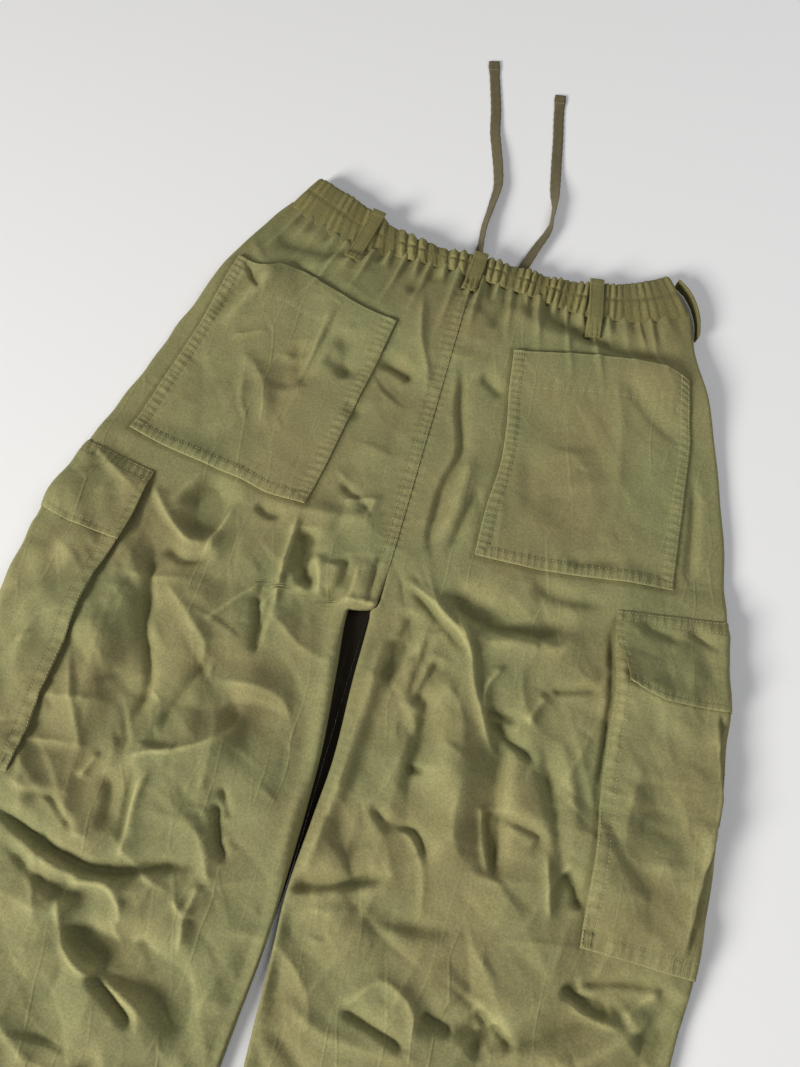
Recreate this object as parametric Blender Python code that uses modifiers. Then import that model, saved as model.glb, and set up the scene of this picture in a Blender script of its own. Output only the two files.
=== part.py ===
"""Cargo pants laid flat on their front, back side up, as separate cut-and-sewn pieces.

The design is worked out in millimetres with its zero at the crotch: +Y runs up to the waist,
+X to the viewer's right, +Z up from the surface that the garment lies on. Each leg is a flattened
ring of a front ply on the surface and a back ply above it. The whole is then shifted so that the
middle of its underside is the origin.
"""
import math

import bmesh
import bpy
import numpy as np
from mathutils import Vector

MM = 0.001
ORIGIN_X = 1.0        # where the origin lies, from the crotch
ORIGIN_Y = -145.5

CLOTH = 1.2           # wall of one ply of twill with its crinkle
BAND_WALL = 2.0       # folded, gathered waistband
LOOP_WALL = 1.4
SEAM_GAP = 0.3        # between two pieces that are sewn together
EDGE_GAP = 2.4        # outer surfaces of the plies at a side edge, whose walls lean together
BAND_EDGE_GAP = 2.4
BAND_EASE = 1.6       # more room between the straight-sided facets of panel and waistband
CROTCH_EASE = 0.7     # more room on each side where the centre seam turns into the inseams
LAY_GAP = 0.35        # between a panel and what lies on it
EDGE_RADIUS = 5.0     # round of a folded side edge
INSEAM_Z = 2.2        # the back ply's inner edge, which comes down onto the front ply
EDGE_STEPS = (0.0, 1.5)
HIP_PLATEAU = 14.0    # height of the waistband's back ply
FRONT_BAND_Z = 1.9    # underside of the front waistband, above the loops

# Height along the garment, then the x of each edge and how far the back ply arches up.
LEG_COLUMNS = ("y", "inner", "outer", "crown")
LEFT_LEG = (
    (430, 0, -182, 1.0),
    (384, 0, -205, 1.0),
    (341, 0, -228, 2.0),
    (284, 0, -249, 3.0),
    (191, 0, -274, 4.0),
    (88, 0, -300, 5.0),
    (50, 0, -308, 5.0),
    (0, -12, -316, 5.5),
    (-14, -23, -317, 6.0),
    (-60, -19, -319, 6.5),
    (-140, -11, -318, 7.0),
    (-200, -9.8, -316, 7.0),
    (-260, -10, -312, 7.0),
    (-360, -17, -303, 6.5),
    (-500, -27, -297, 6.0),
    (-650, -37, -291, 5.0),
    (-715, -41, -289, 4.5),
)
RIGHT_LEG = (
    (430, 0, 188, 1.0),
    (370, 0, 220, 1.0),
    (341, 0, 228, 2.0),
    (284, 0, 251, 3.0),
    (191, 0, 279, 4.0),
    (88, 0, 299, 5.0),
    (50, 0, 305, 5.0),
    (0, -12, 312, 5.5),
    (-14, -6, 315, 6.0),
    (-60, -4, 318, 6.5),
    (-130, -1, 320, 7.0),
    (-180, -4, 320, 7.0),
    (-240, -7.5, 317, 7.0),
    (-280, -5, 312, 7.0),
    (-360, -1, 303, 6.5),
    (-500, 10, 293, 6.0),
    (-650, 24, 283, 5.0),
    (-715, 29, 280, 4.5),
)

# The front ply's inner edges run closer together than the back ply's, so they close the fork.
FRONT_INNER_COLUMNS = ("y", "inner")
FRONT_INNER = {
    "left": ((430, 0), (50, 0), (0, -8), (-200, -8.6), (-260, -10), (-360, -17), (-500, -27),
             (-650, -37), (-715, -41)),
    "right": ((430, 0), (50, 0), (0, -8), (-200, -7.4), (-240, -7.5), (-280, -5), (-360, -1),
              (-500, 10), (-650, 24), (-715, 29)),
}

# Lines across a panel: its height at x = 0, its slope, the x of the two lanes that patch pockets
# follow, and the number of steps down to the next line.
LINE_COLUMNS = ("name", "y", "slope", "lane_in", "lane_out", "steps")
LEFT_LINES = (
    ("waist", 350.0, -0.166, -52, -187, 3),
    ("pocket_top", 265.5, -0.175, -60, -231, 6),
    ("pocket_bottom", 61.0, -0.156, -89, -269, 1),
    ("flap_top", 23.0, -0.190, -95, -232, 1),
    ("crotch", -2.0, -0.180, -98, -237, 1),
    ("fork", -18.0, -0.170, -100, -240, 1),
    ("flap_bottom", -41.0, -0.157, -102, -244, 6),
    ("cargo_bottom", -211.0, 0.0, -105, -250, 7),
    ("calf", -420.0, 0.0, -105, -235, 7),
    ("hem", -715.0, 0.0, -105, -225, 0),
)
RIGHT_LINES = (
    ("waist", 350.0, 0.090, 52, 200, 3),
    ("pocket_top", 273.6, 0.094, 57, 227, 6),
    ("pocket_bottom", 64.0, 0.1006, 70, 249, 1),
    ("flap_top", 24.0, 0.110, 72, 205, 1),
    ("crotch", 1.5, 0.105, 74, 208, 1),
    ("fork", -13.5, 0.100, 76, 211, 1),
    ("flap_bottom", -32.0, 0.095, 80, 213, 6),
    ("cargo_bottom", -215.0, 0.0, 88, 226, 7),
    ("calf", -420.0, 0.0, 95, 222, 7),
    ("hem", -715.0, 0.0, 98, 215, 0),
)

# The largest folds of the back ply: a line from one end to the other, its height (a hollow is
# below 0) and its half width.
FOLD_COLUMNS = ("x1", "y1", "x2", "y2", "height", "width")
FOLDS = (
    (-165, 70, -185, 15, -5.0, 26),
    (-90, 55, -80, -10, -4.0, 20),
    (-60, 62, -10, 75, 2.5, 20),
    (-200, 40, -205, -150, 3.0, 22),
    (-130, -60, -125, -140, -3.0, 30),
    (-240, -235, -60, -335, -6.0, 26),
    (-210, -330, -40, -390, 4.0, 34),
    (60, 40, 150, 25, -5.0, 24),
    (55, -40, 110, -120, 4.5, 30),
    (15, -40, 12, -190, 3.0, 14),
    (45, -60, 60, -140, -3.5, 20),
    (140, -70, 150, -170, -4.0, 24),
    (180, -240, 250, -270, -3.5, 24),
    (90, -300, 230, -330, -4.5, 26),
    (-200, -470, -90, -500, -3.5, 30),
    (80, -450, 200, -480, -3.5, 30),
    (-150, 335, -60, 318, -1.5, 18),
    (90, 318, 190, 312, -1.5, 18),
)

# The waistband from its left end to its right end: the plan points of its lower and upper edge.
BAND_COLUMNS = ("x_low", "y_low", "x_top", "y_top")
BACK_BAND = (
    (-204, 382, -184, 424),
    (-160, 361, -146, 411),
    (-118, 346.5, -114, 397),
    (-80, 352, -79, 383),
    (-30, 353, -30, 377),
    (0, 351, -1, 378),
    (40, 348, 40, 377),
    (80, 343, 79, 375),
    (118, 340, 116, 380),
    (165, 347, 152, 391),
    (219, 370, 190, 412),
)
FRONT_BAND = (
    (-204, 382, -184, 424),
    (-160, 358, -150, 402),
    (-118, 343, -114, 385),
    (-60, 333, -59, 371),
    (0, 330, -1, 367),
    (60, 332, 59, 369),
    (118, 339, 114, 378),
    (165, 351, 150, 392),
    (219, 370, 190, 412),
)
BACK_PLEATS = 30
FRONT_PLEATS = 12
PLEAT_DEPTH = 1.3

# Patch pockets sit between the lanes, from pocket_top to pocket_bottom. The mouth gapes at its
# outer end: the plan point of the gape and how far the cloth bows up there.
MOUTH_COLUMNS = ("x", "y", "lift", "reach")
MOUTHS = {"left": (-196, 300, 6.0, 34), "right": (205, 288, 5.0, 30)}

# Cargo pockets wrap the side edge. Width of the half that lies on the front ply, height of the
# face's back edge above the leg, and of its middle.
CARGO_COLUMNS = ("front_half", "edge_lift", "middle_lift", "face_top", "bottom")
CARGO = {
    "left": (100, 5.0, 3.5, 70, -211),
    "right": (84, 2.8, 4.5, 58, -215),
}
CARGO_STACK = 4.5     # height of the front ply above the surface where pocket and flap lie below
FLAP_SEAM_RUN = 14.0  # length over which the flap climbs from its seam onto the pocket
FACE_TUCK = 17.0      # how far below the flap's seam the pocket's face begins
GUSSET_INSET = 8.0
GUSSET_CLEAR = 1.3

# Belt loops on the back: centre x, y of both ends, and slant of the loop.
LOOP_COLUMNS = ("name", "x_low", "y_low", "x_top", "y_top")
BACK_LOOPS = (
    ("belt_loop_centre", -2, 334, 1, 378),
    ("belt_loop_back_left", -123, 334, -111, 396),
    ("belt_loop_back_right", 128, 320, 119, 381),
)
FRONT_LOOPS = (
    ("belt_loop_side_left", -186, 352, -170, 409),
    ("belt_loop_front_left", -80, 310, -77, 365),
    ("belt_loop_front_right", 80, 308, 77, 363),
)
LOOP_WIDTH = 14.5
LOOP_CLEAR = 1.1      # room for the pleats of the band and the folds of the panel below a loop
SIDE_LOOP_PATH = ((201, 408), (212, 398), (222, 383), (228, 367), (230.5, 351))
SIDE_LOOP_Z = (1.5, 13.5)

# The two free ends of the drawstring: plan point, height of the tape's middle and the turn of
# its flat side from lying flat, in degrees.
TAPE_COLUMNS = ("x", "y", "z", "turn")
LEFT_TAPE = (
    (1, 355, 7.3, 12),
    (-1, 369, 7.4, 20),
    (-3, 384, 7, 40),
    (-4, 404, 6.2, 62),
    (-5, 425, 5.4, 55),
    (-4, 447, 5, 48),
    (-3, 469, 4.2, 38),
    (-8, 496, 3.2, 30),
    (-16, 522, 2.6, 26),
    (-23, 545, 1.6, 14),
    (-29, 574, 1.2, 5),
    (-37, 604, 1, 2),
    (-44, 629, 1, 0),
    (-47, 640, 1, 0),
)
RIGHT_TAPE = (
    (37, 355, 7.3, 8),
    (41, 369, 7.4, 12),
    (45, 382, 7.2, 18),
    (50, 400, 6.8, 25),
    (56, 420, 6.2, 34),
    (60, 435, 5.8, 50),
    (61, 448, 5.6, 78),
    (60, 466, 5.2, 70),
    (57, 483, 3.8, 40),
    (54, 501, 2.4, 18),
    (50, 525, 1.4, 6),
    (45, 556, 1, 2),
    (39, 588, 1, 0),
    (35, 615, 1, 0),
)
TAPE_WIDTH = 9.0
TAPE_THICK = 1.2

COLOURS = {
    "Olive twill": ((0.262, 0.235, 0.112), 0.85),
    "Olive twill band": ((0.180, 0.165, 0.080), 0.88),
    "Olive woven tape": ((0.105, 0.088, 0.040), 0.90),
}

LEGS = {
    "left": {"sign": -1, "outline": LEFT_LEG, "lines": LEFT_LINES},
    "right": {"sign": 1, "outline": RIGHT_LEG, "lines": RIGHT_LINES},
}


def clear_scene():
    for scene_object in list(bpy.data.objects):
        bpy.data.objects.remove(scene_object, do_unlink=True)


def smoothstep(low, high, value):
    t = min(1.0, max(0.0, (value - low) / (high - low)))
    return t * t * (3.0 - 2.0 * t)


def quarter_round(t):
    """Height of a quarter circle, 0 at the rim and 1 from its radius inwards."""
    return math.sqrt(max(0.0, 1.0 - (1.0 - min(1.0, max(0.0, t))) ** 2))


def table_at(table, value):
    """One row of a table whose first column falls, worked out at any value of that column."""
    rows = np.array(table, dtype=float)[::-1]
    return [float(np.interp(value, rows[:, 0], rows[:, k])) for k in range(1, rows.shape[1])]


def outline(side, y):
    """x of the inner edge, x of the outer edge and the arch of the back ply, at height y."""
    inner, outer, crown = table_at(LEGS[side]["outline"], y)
    near_crotch = smoothstep(-30.0, 0.0, y) * (1.0 - smoothstep(50.0, 90.0, y))
    gap = SEAM_GAP / 2 + CROTCH_EASE * near_crotch
    return inner + LEGS[side]["sign"] * gap, outer, crown


def front_inner(side, y):
    """x of the front ply's inner edge."""
    near_crotch = smoothstep(-30.0, 0.0, y) * (1.0 - smoothstep(50.0, 90.0, y))
    gap = SEAM_GAP / 2 + CROTCH_EASE * near_crotch
    return table_at(FRONT_INNER[side], y)[0] + LEGS[side]["sign"] * gap


def leg_part(y):
    """0 on the hip, where the two sides meet, and 1 on a leg that is a ring of its own."""
    return 1.0 - smoothstep(-14.0, 45.0, y)


def cargo_zone(side, x, y):
    """1 where the front ply lies on the front half of the cargo pocket, 0 away from it."""
    front_half, _, _, face_top, bottom = CARGO[side]
    outer = outline(side, y)[1]
    from_edge = abs(outer - x)
    across = 1.0 - smoothstep(front_half + 4.0, front_half + 30.0, from_edge)
    top = face_top + 22.0
    along = smoothstep(bottom - 50.0, bottom - 6.0, y) * (1.0 - smoothstep(top, top + 28.0, y))
    return across * along


def fold_height(x, y):
    total = 0.0
    for x1, y1, x2, y2, height, width in FOLDS:
        along = Vector((x2 - x1, y2 - y1))
        reach = Vector((x - x1, y - y1))
        t = reach.dot(along) / along.length_squared
        nearest = along * min(1.0, max(0.0, t))
        beyond = max(0.0, -t, t - 1.0) * along.length
        across = (reach - nearest).length
        total += height * math.exp(-((across / width) ** 2) - (beyond / (1.5 * width)) ** 2)
    return total


def back_height(side, x, y):
    """Outer surface of the back ply of one side."""
    inner, outer, crown = outline(side, y)
    from_outer = abs(outer - x)
    from_inner = abs(x - inner)
    across = from_inner / abs(outer - inner)
    leg = leg_part(y)
    arch = math.sin(math.pi * (0.4 * (1.0 - leg) + across * (1.0 - 0.4 * (1.0 - leg))))
    lift = CARGO_STACK * cargo_zone(side, x, y)
    edge_lift = CARGO_STACK * cargo_zone(side, outer, y)
    waist = smoothstep(250.0, 350.0, y)
    plateau = 2.0 * EDGE_RADIUS + crown * max(0.0, arch) + lift
    plateau += waist * (HIP_PLATEAU - 2.0 * EDGE_RADIUS - crown * max(0.0, arch))
    plateau += fold_height(x, y) * smoothstep(0.0, 30.0, from_outer)
    edge = EDGE_RADIUS + edge_lift + EDGE_GAP / 2
    z = plateau - (plateau - edge) * (1.0 - quarter_round(from_outer / EDGE_RADIUS))
    roll = leg * (1.0 - quarter_round(from_inner / EDGE_RADIUS))
    return z - (z - INSEAM_Z) * roll


def front_height(side, x, y):
    """Outer surface, which is the underside, of the front ply of one side."""
    outer = outline(side, y)[1]
    lift = CARGO_STACK * cargo_zone(side, x, y)
    edge_lift = CARGO_STACK * cargo_zone(side, outer, y)
    edge = EDGE_RADIUS + edge_lift - EDGE_GAP / 2
    band_lift = FRONT_BAND_Z * smoothstep(250.0, 295.0, y)
    z = lift + band_lift
    return z + (edge - z) * (1.0 - quarter_round(abs(outer - x) / EDGE_RADIUS))


def band_edge(sections, x):
    """y of the waistband's lower edge at x."""
    rows = np.array(sections, dtype=float)
    return float(np.interp(x, rows[:, 0], rows[:, 1]))


def panel_lines(side, thin):
    """Every line across a panel as (y at x = 0, slope, inner lane, outer lane, waist share)."""
    lines = LEGS[side]["lines"]
    found = []
    for line, below in zip(lines, lines[1:]):
        steps = max(1, round(line[5] * thin))
        for step in range(steps):
            t = step / steps
            values = [a + (b - a) * t for a, b in zip(line[1:5], below[1:5])]
            share = (1.0 - t) ** 2 if line[0] == "waist" else 0.0
            found.append((*values, share))
    found.append((*lines[-1][1:5], 0.0))
    return found


def line_index(side, name, thin):
    total = 0
    for line in LEGS[side]["lines"]:
        if line[0] == name:
            return total
        total += max(1, round(line[5] * thin))
    raise ValueError(name)


def lane_columns(inner, lane_in, lane_out, outer, splits):
    """x of each column across a panel, close together at its two rounded edges."""
    sign = 1.0 if outer > inner else -1.0
    columns = [inner + sign * step for step in EDGE_STEPS]
    columns.append(inner + sign * EDGE_RADIUS)
    stops = (inner + sign * EDGE_RADIUS, lane_in, lane_out, outer - sign * EDGE_RADIUS)
    for start, stop, count in zip(stops, stops[1:], splits):
        columns += [start + (stop - start) * (k + 1) / count for k in range(count)]
    columns += [outer - sign * step for step in reversed(EDGE_STEPS)]
    return columns


def cargo_lanes(side, outer):
    """x of two columns of the front ply, at the rim of its rise over the cargo pocket."""
    sign = LEGS[side]["sign"]
    front_half = CARGO[side][0]
    return outer - sign * (front_half + 34.0), outer - sign * (front_half + 5.0)


def panel_grid(side, sections, height, inner_edge, splits, thin):
    """Rows of points of one ply of one side, from the waist down to the hem."""
    rows = []
    for y_zero, slope, lane_in, lane_out, share in panel_lines(side, thin):
        def line_y(x):
            straight = y_zero + slope * x
            return straight + share * (band_edge(sections, x) - SEAM_GAP - BAND_EASE - straight)
        y_inner = line_y(0.0)
        y_outer = y_zero
        for _ in range(6):
            y_outer = line_y(outline(side, y_outer)[1])
        outer = outline(side, y_outer)[1]
        if height is front_height:
            lane_in, lane_out = cargo_lanes(side, outer)
        inner = inner_edge(side, y_inner)
        row = []
        for k, x in enumerate(lane_columns(inner, lane_in, lane_out, outer, splits)):
            y = line_y(x)
            edge_in = inner_edge(side, y)
            edge_out = outline(side, y)[1]
            if k == 0:
                x = edge_in
            x = max(min(edge_in, edge_out), min(max(edge_in, edge_out), x))
            row.append(Vector((x, y, height(side, x, y))))
        rows.append(row)
    return rows


BACK_SPLITS = (2, 6, 3)
FRONT_SPLITS = (4, 1, 3)


def back_inner(side, y):
    return outline(side, y)[0]


def back_grid(side):
    return panel_grid(side, BACK_BAND, back_height, back_inner, BACK_SPLITS, 1.0)


def front_grid(side):
    return panel_grid(side, FRONT_BAND, front_height, front_inner, FRONT_SPLITS, 0.7)


def point_normal(rows, i, j):
    up = rows[max(i - 1, 0)][j] - rows[min(i + 1, len(rows) - 1)][j]
    along = rows[i][min(j + 1, len(rows[0]) - 1)] - rows[i][max(j - 1, 0)]
    normal = along.cross(up).normalized()
    return normal if normal.z >= 0.0 else -normal


def moved_out(rows, distance):
    """A grid of points moved off the panel, by a distance that may differ from point to point."""
    moved = []
    for i, row in enumerate(rows):
        moved.append([p + point_normal(rows, i, j) * distance(p) for j, p in enumerate(row)])
    return moved


def make_sheet(name, rows, wall, material, collection, outward):
    """A closed cloth piece: a grid of outer points, thickened inwards."""
    across = len(rows[0]) - 1
    down = len(rows) - 1
    mesh = bpy.data.meshes.new(name)
    bm = bmesh.new()
    bmesh.ops.create_grid(bm, x_segments=across, y_segments=down, size=0.5)
    for vertex in bm.verts:
        j = round((vertex.co.x + 0.5) * across)
        i = round((vertex.co.y + 0.5) * down)
        point = rows[i][j] - Vector((ORIGIN_X, ORIGIN_Y, 0.0))
        vertex.co = point * MM
    bm.normal_update()
    bm.faces.ensure_lookup_table()
    middle = bm.faces[len(bm.faces) // 2]
    if middle.normal.dot(Vector(outward)) < 0.0:
        bmesh.ops.reverse_faces(bm, faces=bm.faces)
    bmesh.ops.triangulate(bm, faces=bm.faces)
    bm.to_mesh(mesh)
    bm.free()
    mesh.shade_smooth()
    mesh.materials.append(material)
    piece = bpy.data.objects.new(name, mesh)
    collection.objects.link(piece)
    shell = piece.modifiers.new("Wall", "SOLIDIFY")
    shell.thickness = wall * MM
    shell.offset = -1.0
    return piece


def make_material(name):
    colour, roughness = COLOURS[name]
    material = bpy.data.materials.new(name)
    material.use_nodes = True
    shader = material.node_tree.nodes["Principled BSDF"]
    shader.inputs["Base Color"].default_value = (*colour, 1.0)
    shader.inputs["Roughness"].default_value = roughness
    shader.inputs["Metallic"].default_value = 0.0
    return material


def back_pocket(side, material, collection):
    """The patch pocket: the panel's own points between the lanes, moved off it."""
    rows = back_grid(side)
    top = line_index(side, "pocket_top", 1.0)
    bottom = line_index(side, "pocket_bottom", 1.0)
    first = len(EDGE_STEPS) + BACK_SPLITS[0]
    last = first + BACK_SPLITS[1]
    x, y, lift, reach = MOUTHS[side]
    patch = [row[first:last + 1] for row in rows[top:bottom + 1]]

    def off_panel(point):
        away = math.hypot(point.x - x, point.y - y) / reach
        return LAY_GAP + CLOTH + lift * math.exp(-away * away)

    name = f"back_pocket_{side}"
    make_sheet(name, moved_out(patch, off_panel), CLOTH, material, collection, (0, 0, 1))


def cargo_offset(side, x, y):
    """Height of the cargo face's outer surface above the back ply."""
    _, edge_lift, middle_lift, face_top, bottom = CARGO[side]
    inner_edge = cargo_lane(side, y)
    outer = outline(side, y)[1]
    across = min(1.0, max(0.0, (x - inner_edge) / (outer - inner_edge)))
    lift = edge_lift + (middle_lift - edge_lift) * math.sin(0.5 * math.pi * across)
    drop = smoothstep(0.0, 60.0, face_top - y)
    close = smoothstep(0.0, 35.0, y - bottom)
    return 1.0 + CLOTH + lift * drop * (0.35 + 0.65 * close)


def cargo_lane(side, y):
    """x of the cargo pocket's back edge."""
    lines = LEGS[side]["lines"][3:8]
    heights = [line[1] + line[2] * line[4] for line in lines]
    lanes = [line[4] for line in lines]
    return float(np.interp(y, heights[::-1], lanes[::-1]))


def wrapped_row(side, y_at, start_x, back_offset, front_offset, front_half):
    """Points round the side edge: along the back ply, round the fold, along the front ply."""
    sign = LEGS[side]["sign"]
    y_edge = y_at(outline(side, y_at(start_x))[1])
    outer = outline(side, y_edge)[1]
    centre_x = outer - sign * EDGE_RADIUS
    edge_z = EDGE_RADIUS + CARGO_STACK * cargo_zone(side, outer, y_edge)
    row = []
    for k in range(5):
        x = start_x + (centre_x - start_x) * k / 4
        y = y_at(x)
        row.append(Vector((x, y, back_height(side, x, y) + back_offset(x, y))))
    reach = EDGE_RADIUS + back_offset(centre_x, y_edge)
    rise = row[-1].z - edge_z
    front_z = edge_z - front_height(side, centre_x, y_edge) + front_offset
    for angle in (55.0, 22.0, -10.0, -45.0):
        turn = math.radians(angle)
        span = rise if angle > 0.0 else front_z
        x = centre_x + sign * reach * math.cos(turn)
        row.append(Vector((x, y_edge, edge_z + span * math.sin(turn))))
    for k in range(4):
        x = centre_x - sign * (front_half - EDGE_RADIUS) * k / 3
        row.append(Vector((x, y_edge, front_height(side, x, y_edge) - front_offset)))
    return row


def cargo_line(side, name):
    for line in LEGS[side]["lines"]:
        if line[0] == name:
            return line
    raise ValueError(name)


def cargo_face(side, material, collection):
    front_half, _, _, _, bottom = CARGO[side]
    top_line = cargo_line(side, "flap_top")
    y_top = top_line[1] - FACE_TUCK
    rows = []
    steps = 9
    for step in range(steps + 1):
        t = step / steps
        slope = top_line[2] * (1.0 - t) ** 1.3
        y_zero = y_top + (bottom - y_top) * t

        def y_at(x):
            return y_zero + slope * x

        start_x = cargo_lane(side, y_at(cargo_lane(side, y_zero)))
        rows.append(wrapped_row(
            side, y_at, start_x,
            lambda x, y: cargo_offset(side, x, y), LAY_GAP + CLOTH, front_half))
    make_sheet(f"cargo_face_{side}", rows, CLOTH, material, collection, (0, 0, 1))


def cargo_flap(side, material, collection):
    front_half = CARGO[side][0]
    top_line = cargo_line(side, "flap_top")
    bottom_line = cargo_line(side, "flap_bottom")
    rows = []
    steps = 4
    for step in range(steps + 1):
        t = step / steps
        y_zero = top_line[1] + (bottom_line[1] - top_line[1]) * t
        slope = top_line[2] + (bottom_line[2] - top_line[2]) * t
        top_y = top_line[1]

        def y_at(x):
            return y_zero + slope * x

        def offset(x, y):
            below_seam = top_y + top_line[2] * x - y
            climb = smoothstep(0.0, FLAP_SEAM_RUN, below_seam)
            on_face = cargo_offset(side, x, y) + LAY_GAP + 0.4 + CLOTH
            return LAY_GAP + CLOTH + climb * (on_face - LAY_GAP - CLOTH)

        sign = LEGS[side]["sign"]
        start_x = cargo_lane(side, y_at(cargo_lane(side, y_zero))) - sign * 1.0
        front_offset = 2 * LAY_GAP + CLOTH + (LAY_GAP + CLOTH) * smoothstep(0.0, 0.25, t)
        rows.append(wrapped_row(
            side, y_at, start_x, offset, front_offset, front_half + 1.0))
    make_sheet(f"cargo_flap_{side}", rows, CLOTH, material, collection, (0, 0, 1))


def cargo_gusset(side, material, collection):
    """The bellows strip that stands between the leg and the cargo face's back edge."""
    sign = LEGS[side]["sign"]
    bottom = CARGO[side][4]
    low_row = []
    high_row = []
    steps = 8
    for step in range(steps + 1):
        y = -20.0 + (bottom + 26.0) * step / steps
        x = cargo_lane(side, y) + sign * GUSSET_INSET
        leg_z = back_height(side, x, y)
        face_z = leg_z + cargo_offset(side, x, y) - CLOTH
        low_row.append(Vector((x, y, leg_z + GUSSET_CLEAR)))
        high_row.append(Vector((x, y, max(face_z - GUSSET_CLEAR, leg_z + GUSSET_CLEAR + 0.8))))
    rows = [low_row, high_row]
    make_sheet(f"cargo_gusset_{side}", rows, CLOTH, material, collection, (-sign, 0, 0))


def band_grid(sections, pleats, per_pleat, height):
    """Points of a waistband half, from its left end to its right end."""
    table = np.array(sections, dtype=float)
    stops = np.linspace(0.0, 1.0, pleats * per_pleat + 1)
    stops[1] = stops[1] * 0.35
    stops[-2] = 1.0 - (1.0 - stops[-2]) * 0.35
    share = (table[:, 0] - table[0, 0]) / (table[-1, 0] - table[0, 0])
    rows = []
    for level in range(3):
        q = level / 2
        row = []
        for k, s in enumerate(stops):
            low_x, low_y, top_x, top_y = [np.interp(s, share, table[:, c]) for c in range(4)]
            x = low_x + (top_x - low_x) * q
            y = low_y + (top_y - low_y) * q
            row.append(Vector((float(x), float(y), height(float(s), q, k))))
        rows.append(row)
    return rows


def back_band_height(s, q, k):
    width = 400.0
    rounding = quarter_round(min(s, 1.0 - s) * width / EDGE_RADIUS)
    pleat = PLEAT_DEPTH * math.cos(0.5 * math.pi * k) * smoothstep(0.0, 0.03, min(s, 1.0 - s))
    plateau = HIP_PLATEAU + 2.0 * math.sin(math.pi * q) + pleat * (0.6 + 0.4 * q)
    edge = EDGE_RADIUS + BAND_EDGE_GAP / 2
    return edge + (plateau - edge) * rounding


def front_band_height(s, q, k):
    width = 400.0
    rounding = quarter_round(min(s, 1.0 - s) * width / EDGE_RADIUS)
    pleat = 0.5 * PLEAT_DEPTH * (1.0 - math.cos(0.5 * math.pi * k))
    edge = EDGE_RADIUS - BAND_EDGE_GAP / 2
    return edge + (FRONT_BAND_Z + 0.5 * pleat - edge) * rounding


def back_top_height(x, y):
    """The highest that the back's cloth comes at a plan point near the waist."""
    side = "left" if x < 0 else "right"
    low = band_edge(BACK_BAND, x)
    panel = back_height(side, x, y)
    band = HIP_PLATEAU + 2.0 + PLEAT_DEPTH
    return panel + (band - panel) * smoothstep(low - 9.0, low - 1.0, y)


def strip_rows(x_low, y_low, x_top, y_top, height, steps):
    """Two or more points across and a row for each step along a narrow strip."""
    along = Vector((x_top - x_low, y_top - y_low)).normalized()
    side_step = Vector((along.y, -along.x)) * LOOP_WIDTH / 2
    rows = []
    for step in range(steps + 1):
        t = step / steps
        middle = Vector((x_low + (x_top - x_low) * t, y_low + (y_top - y_low) * t))
        z = max(height(middle + side_step * share) for share in (-1.0, 0.0, 1.0))
        row = []
        for share in (-1.0, 0.0, 1.0):
            point = middle + side_step * share
            row.append(Vector((point.x, point.y, z)))
        rows.append(row)
    return rows


def back_loop(name, x_low, y_low, x_top, y_top, material, collection):
    def height(point):
        return back_top_height(point.x, point.y) + LOOP_CLEAR + LOOP_WALL
    rows = strip_rows(x_low, y_low, x_top, y_top, height, 7)
    make_sheet(name, rows, LOOP_WALL, material, collection, (0, 0, 1))


def front_loop(name, x_low, y_low, x_top, y_top, material, collection):
    rows = strip_rows(x_low, y_low, x_top, y_top, lambda point: 0.0, 3)
    make_sheet(name, rows, LOOP_WALL, material, collection, (0, 0, -1))


def side_loop(material, collection):
    """The loop over the right side edge, which bows away from the band."""
    low_z, high_z = SIDE_LOOP_Z
    rows = [[Vector((x, y, z)) for z in (low_z, 0.5 * (low_z + high_z), high_z)]
            for x, y in SIDE_LOOP_PATH]
    make_sheet("belt_loop_side_right", rows, LOOP_WALL, material, collection, (1, 0, 0))


def tape(name, table, material, collection):
    """A flat woven drawstring end: a ribbon curve that turns on its way along the surface."""
    curve = bpy.data.curves.new(name, "CURVE")
    curve.dimensions = "3D"
    curve.twist_mode = "Z_UP"
    curve.extrude = (TAPE_WIDTH - TAPE_THICK) / 2 * MM
    curve.bevel_depth = TAPE_THICK / 2 * MM
    curve.bevel_resolution = 0
    curve.use_fill_caps = True
    spline = curve.splines.new("POLY")
    spline.points.add(len(table) - 1)
    for point, (x, y, z, turn) in zip(spline.points, table):
        place = (Vector((x, y, z)) - Vector((ORIGIN_X, ORIGIN_Y, 0.0))) * MM
        point.co = (*place, 1.0)
        point.tilt = math.radians(90.0 - turn)
    curve.materials.append(material)
    piece = bpy.data.objects.new(name, curve)
    collection.objects.link(piece)


def build():
    clear_scene()
    collection = bpy.data.collections.new("cargo_pants")
    bpy.context.scene.collection.children.link(collection)
    twill = make_material("Olive twill")
    band = make_material("Olive twill band")
    woven = make_material("Olive woven tape")
    for side in LEGS:
        make_sheet(f"back_{side}", back_grid(side), CLOTH, twill, collection, (0, 0, 1))
        make_sheet(f"front_{side}", front_grid(side), CLOTH, twill, collection, (0, 0, -1))
        back_pocket(side, twill, collection)
        cargo_face(side, twill, collection)
        cargo_flap(side, twill, collection)
        cargo_gusset(side, twill, collection)
    back = band_grid(BACK_BAND, BACK_PLEATS, 4, back_band_height)
    make_sheet("waistband_back", back, BAND_WALL, band, collection, (0, 0, 1))
    front = band_grid(FRONT_BAND, FRONT_PLEATS, 4, front_band_height)
    make_sheet("waistband_front", front, BAND_WALL, band, collection, (0, 0, -1))
    for loop in BACK_LOOPS:
        back_loop(*loop, band, collection)
    for loop in FRONT_LOOPS:
        front_loop(*loop, band, collection)
    side_loop(band, collection)
    tape("drawstring_left", LEFT_TAPE, woven, collection)
    tape("drawstring_right", RIGHT_TAPE, woven, collection)


build()
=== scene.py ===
import math

import bmesh
import bpy
import numpy as np
from mathutils import Matrix, Vector
from mathutils.geometry import delaunay_2d_cdt


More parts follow.
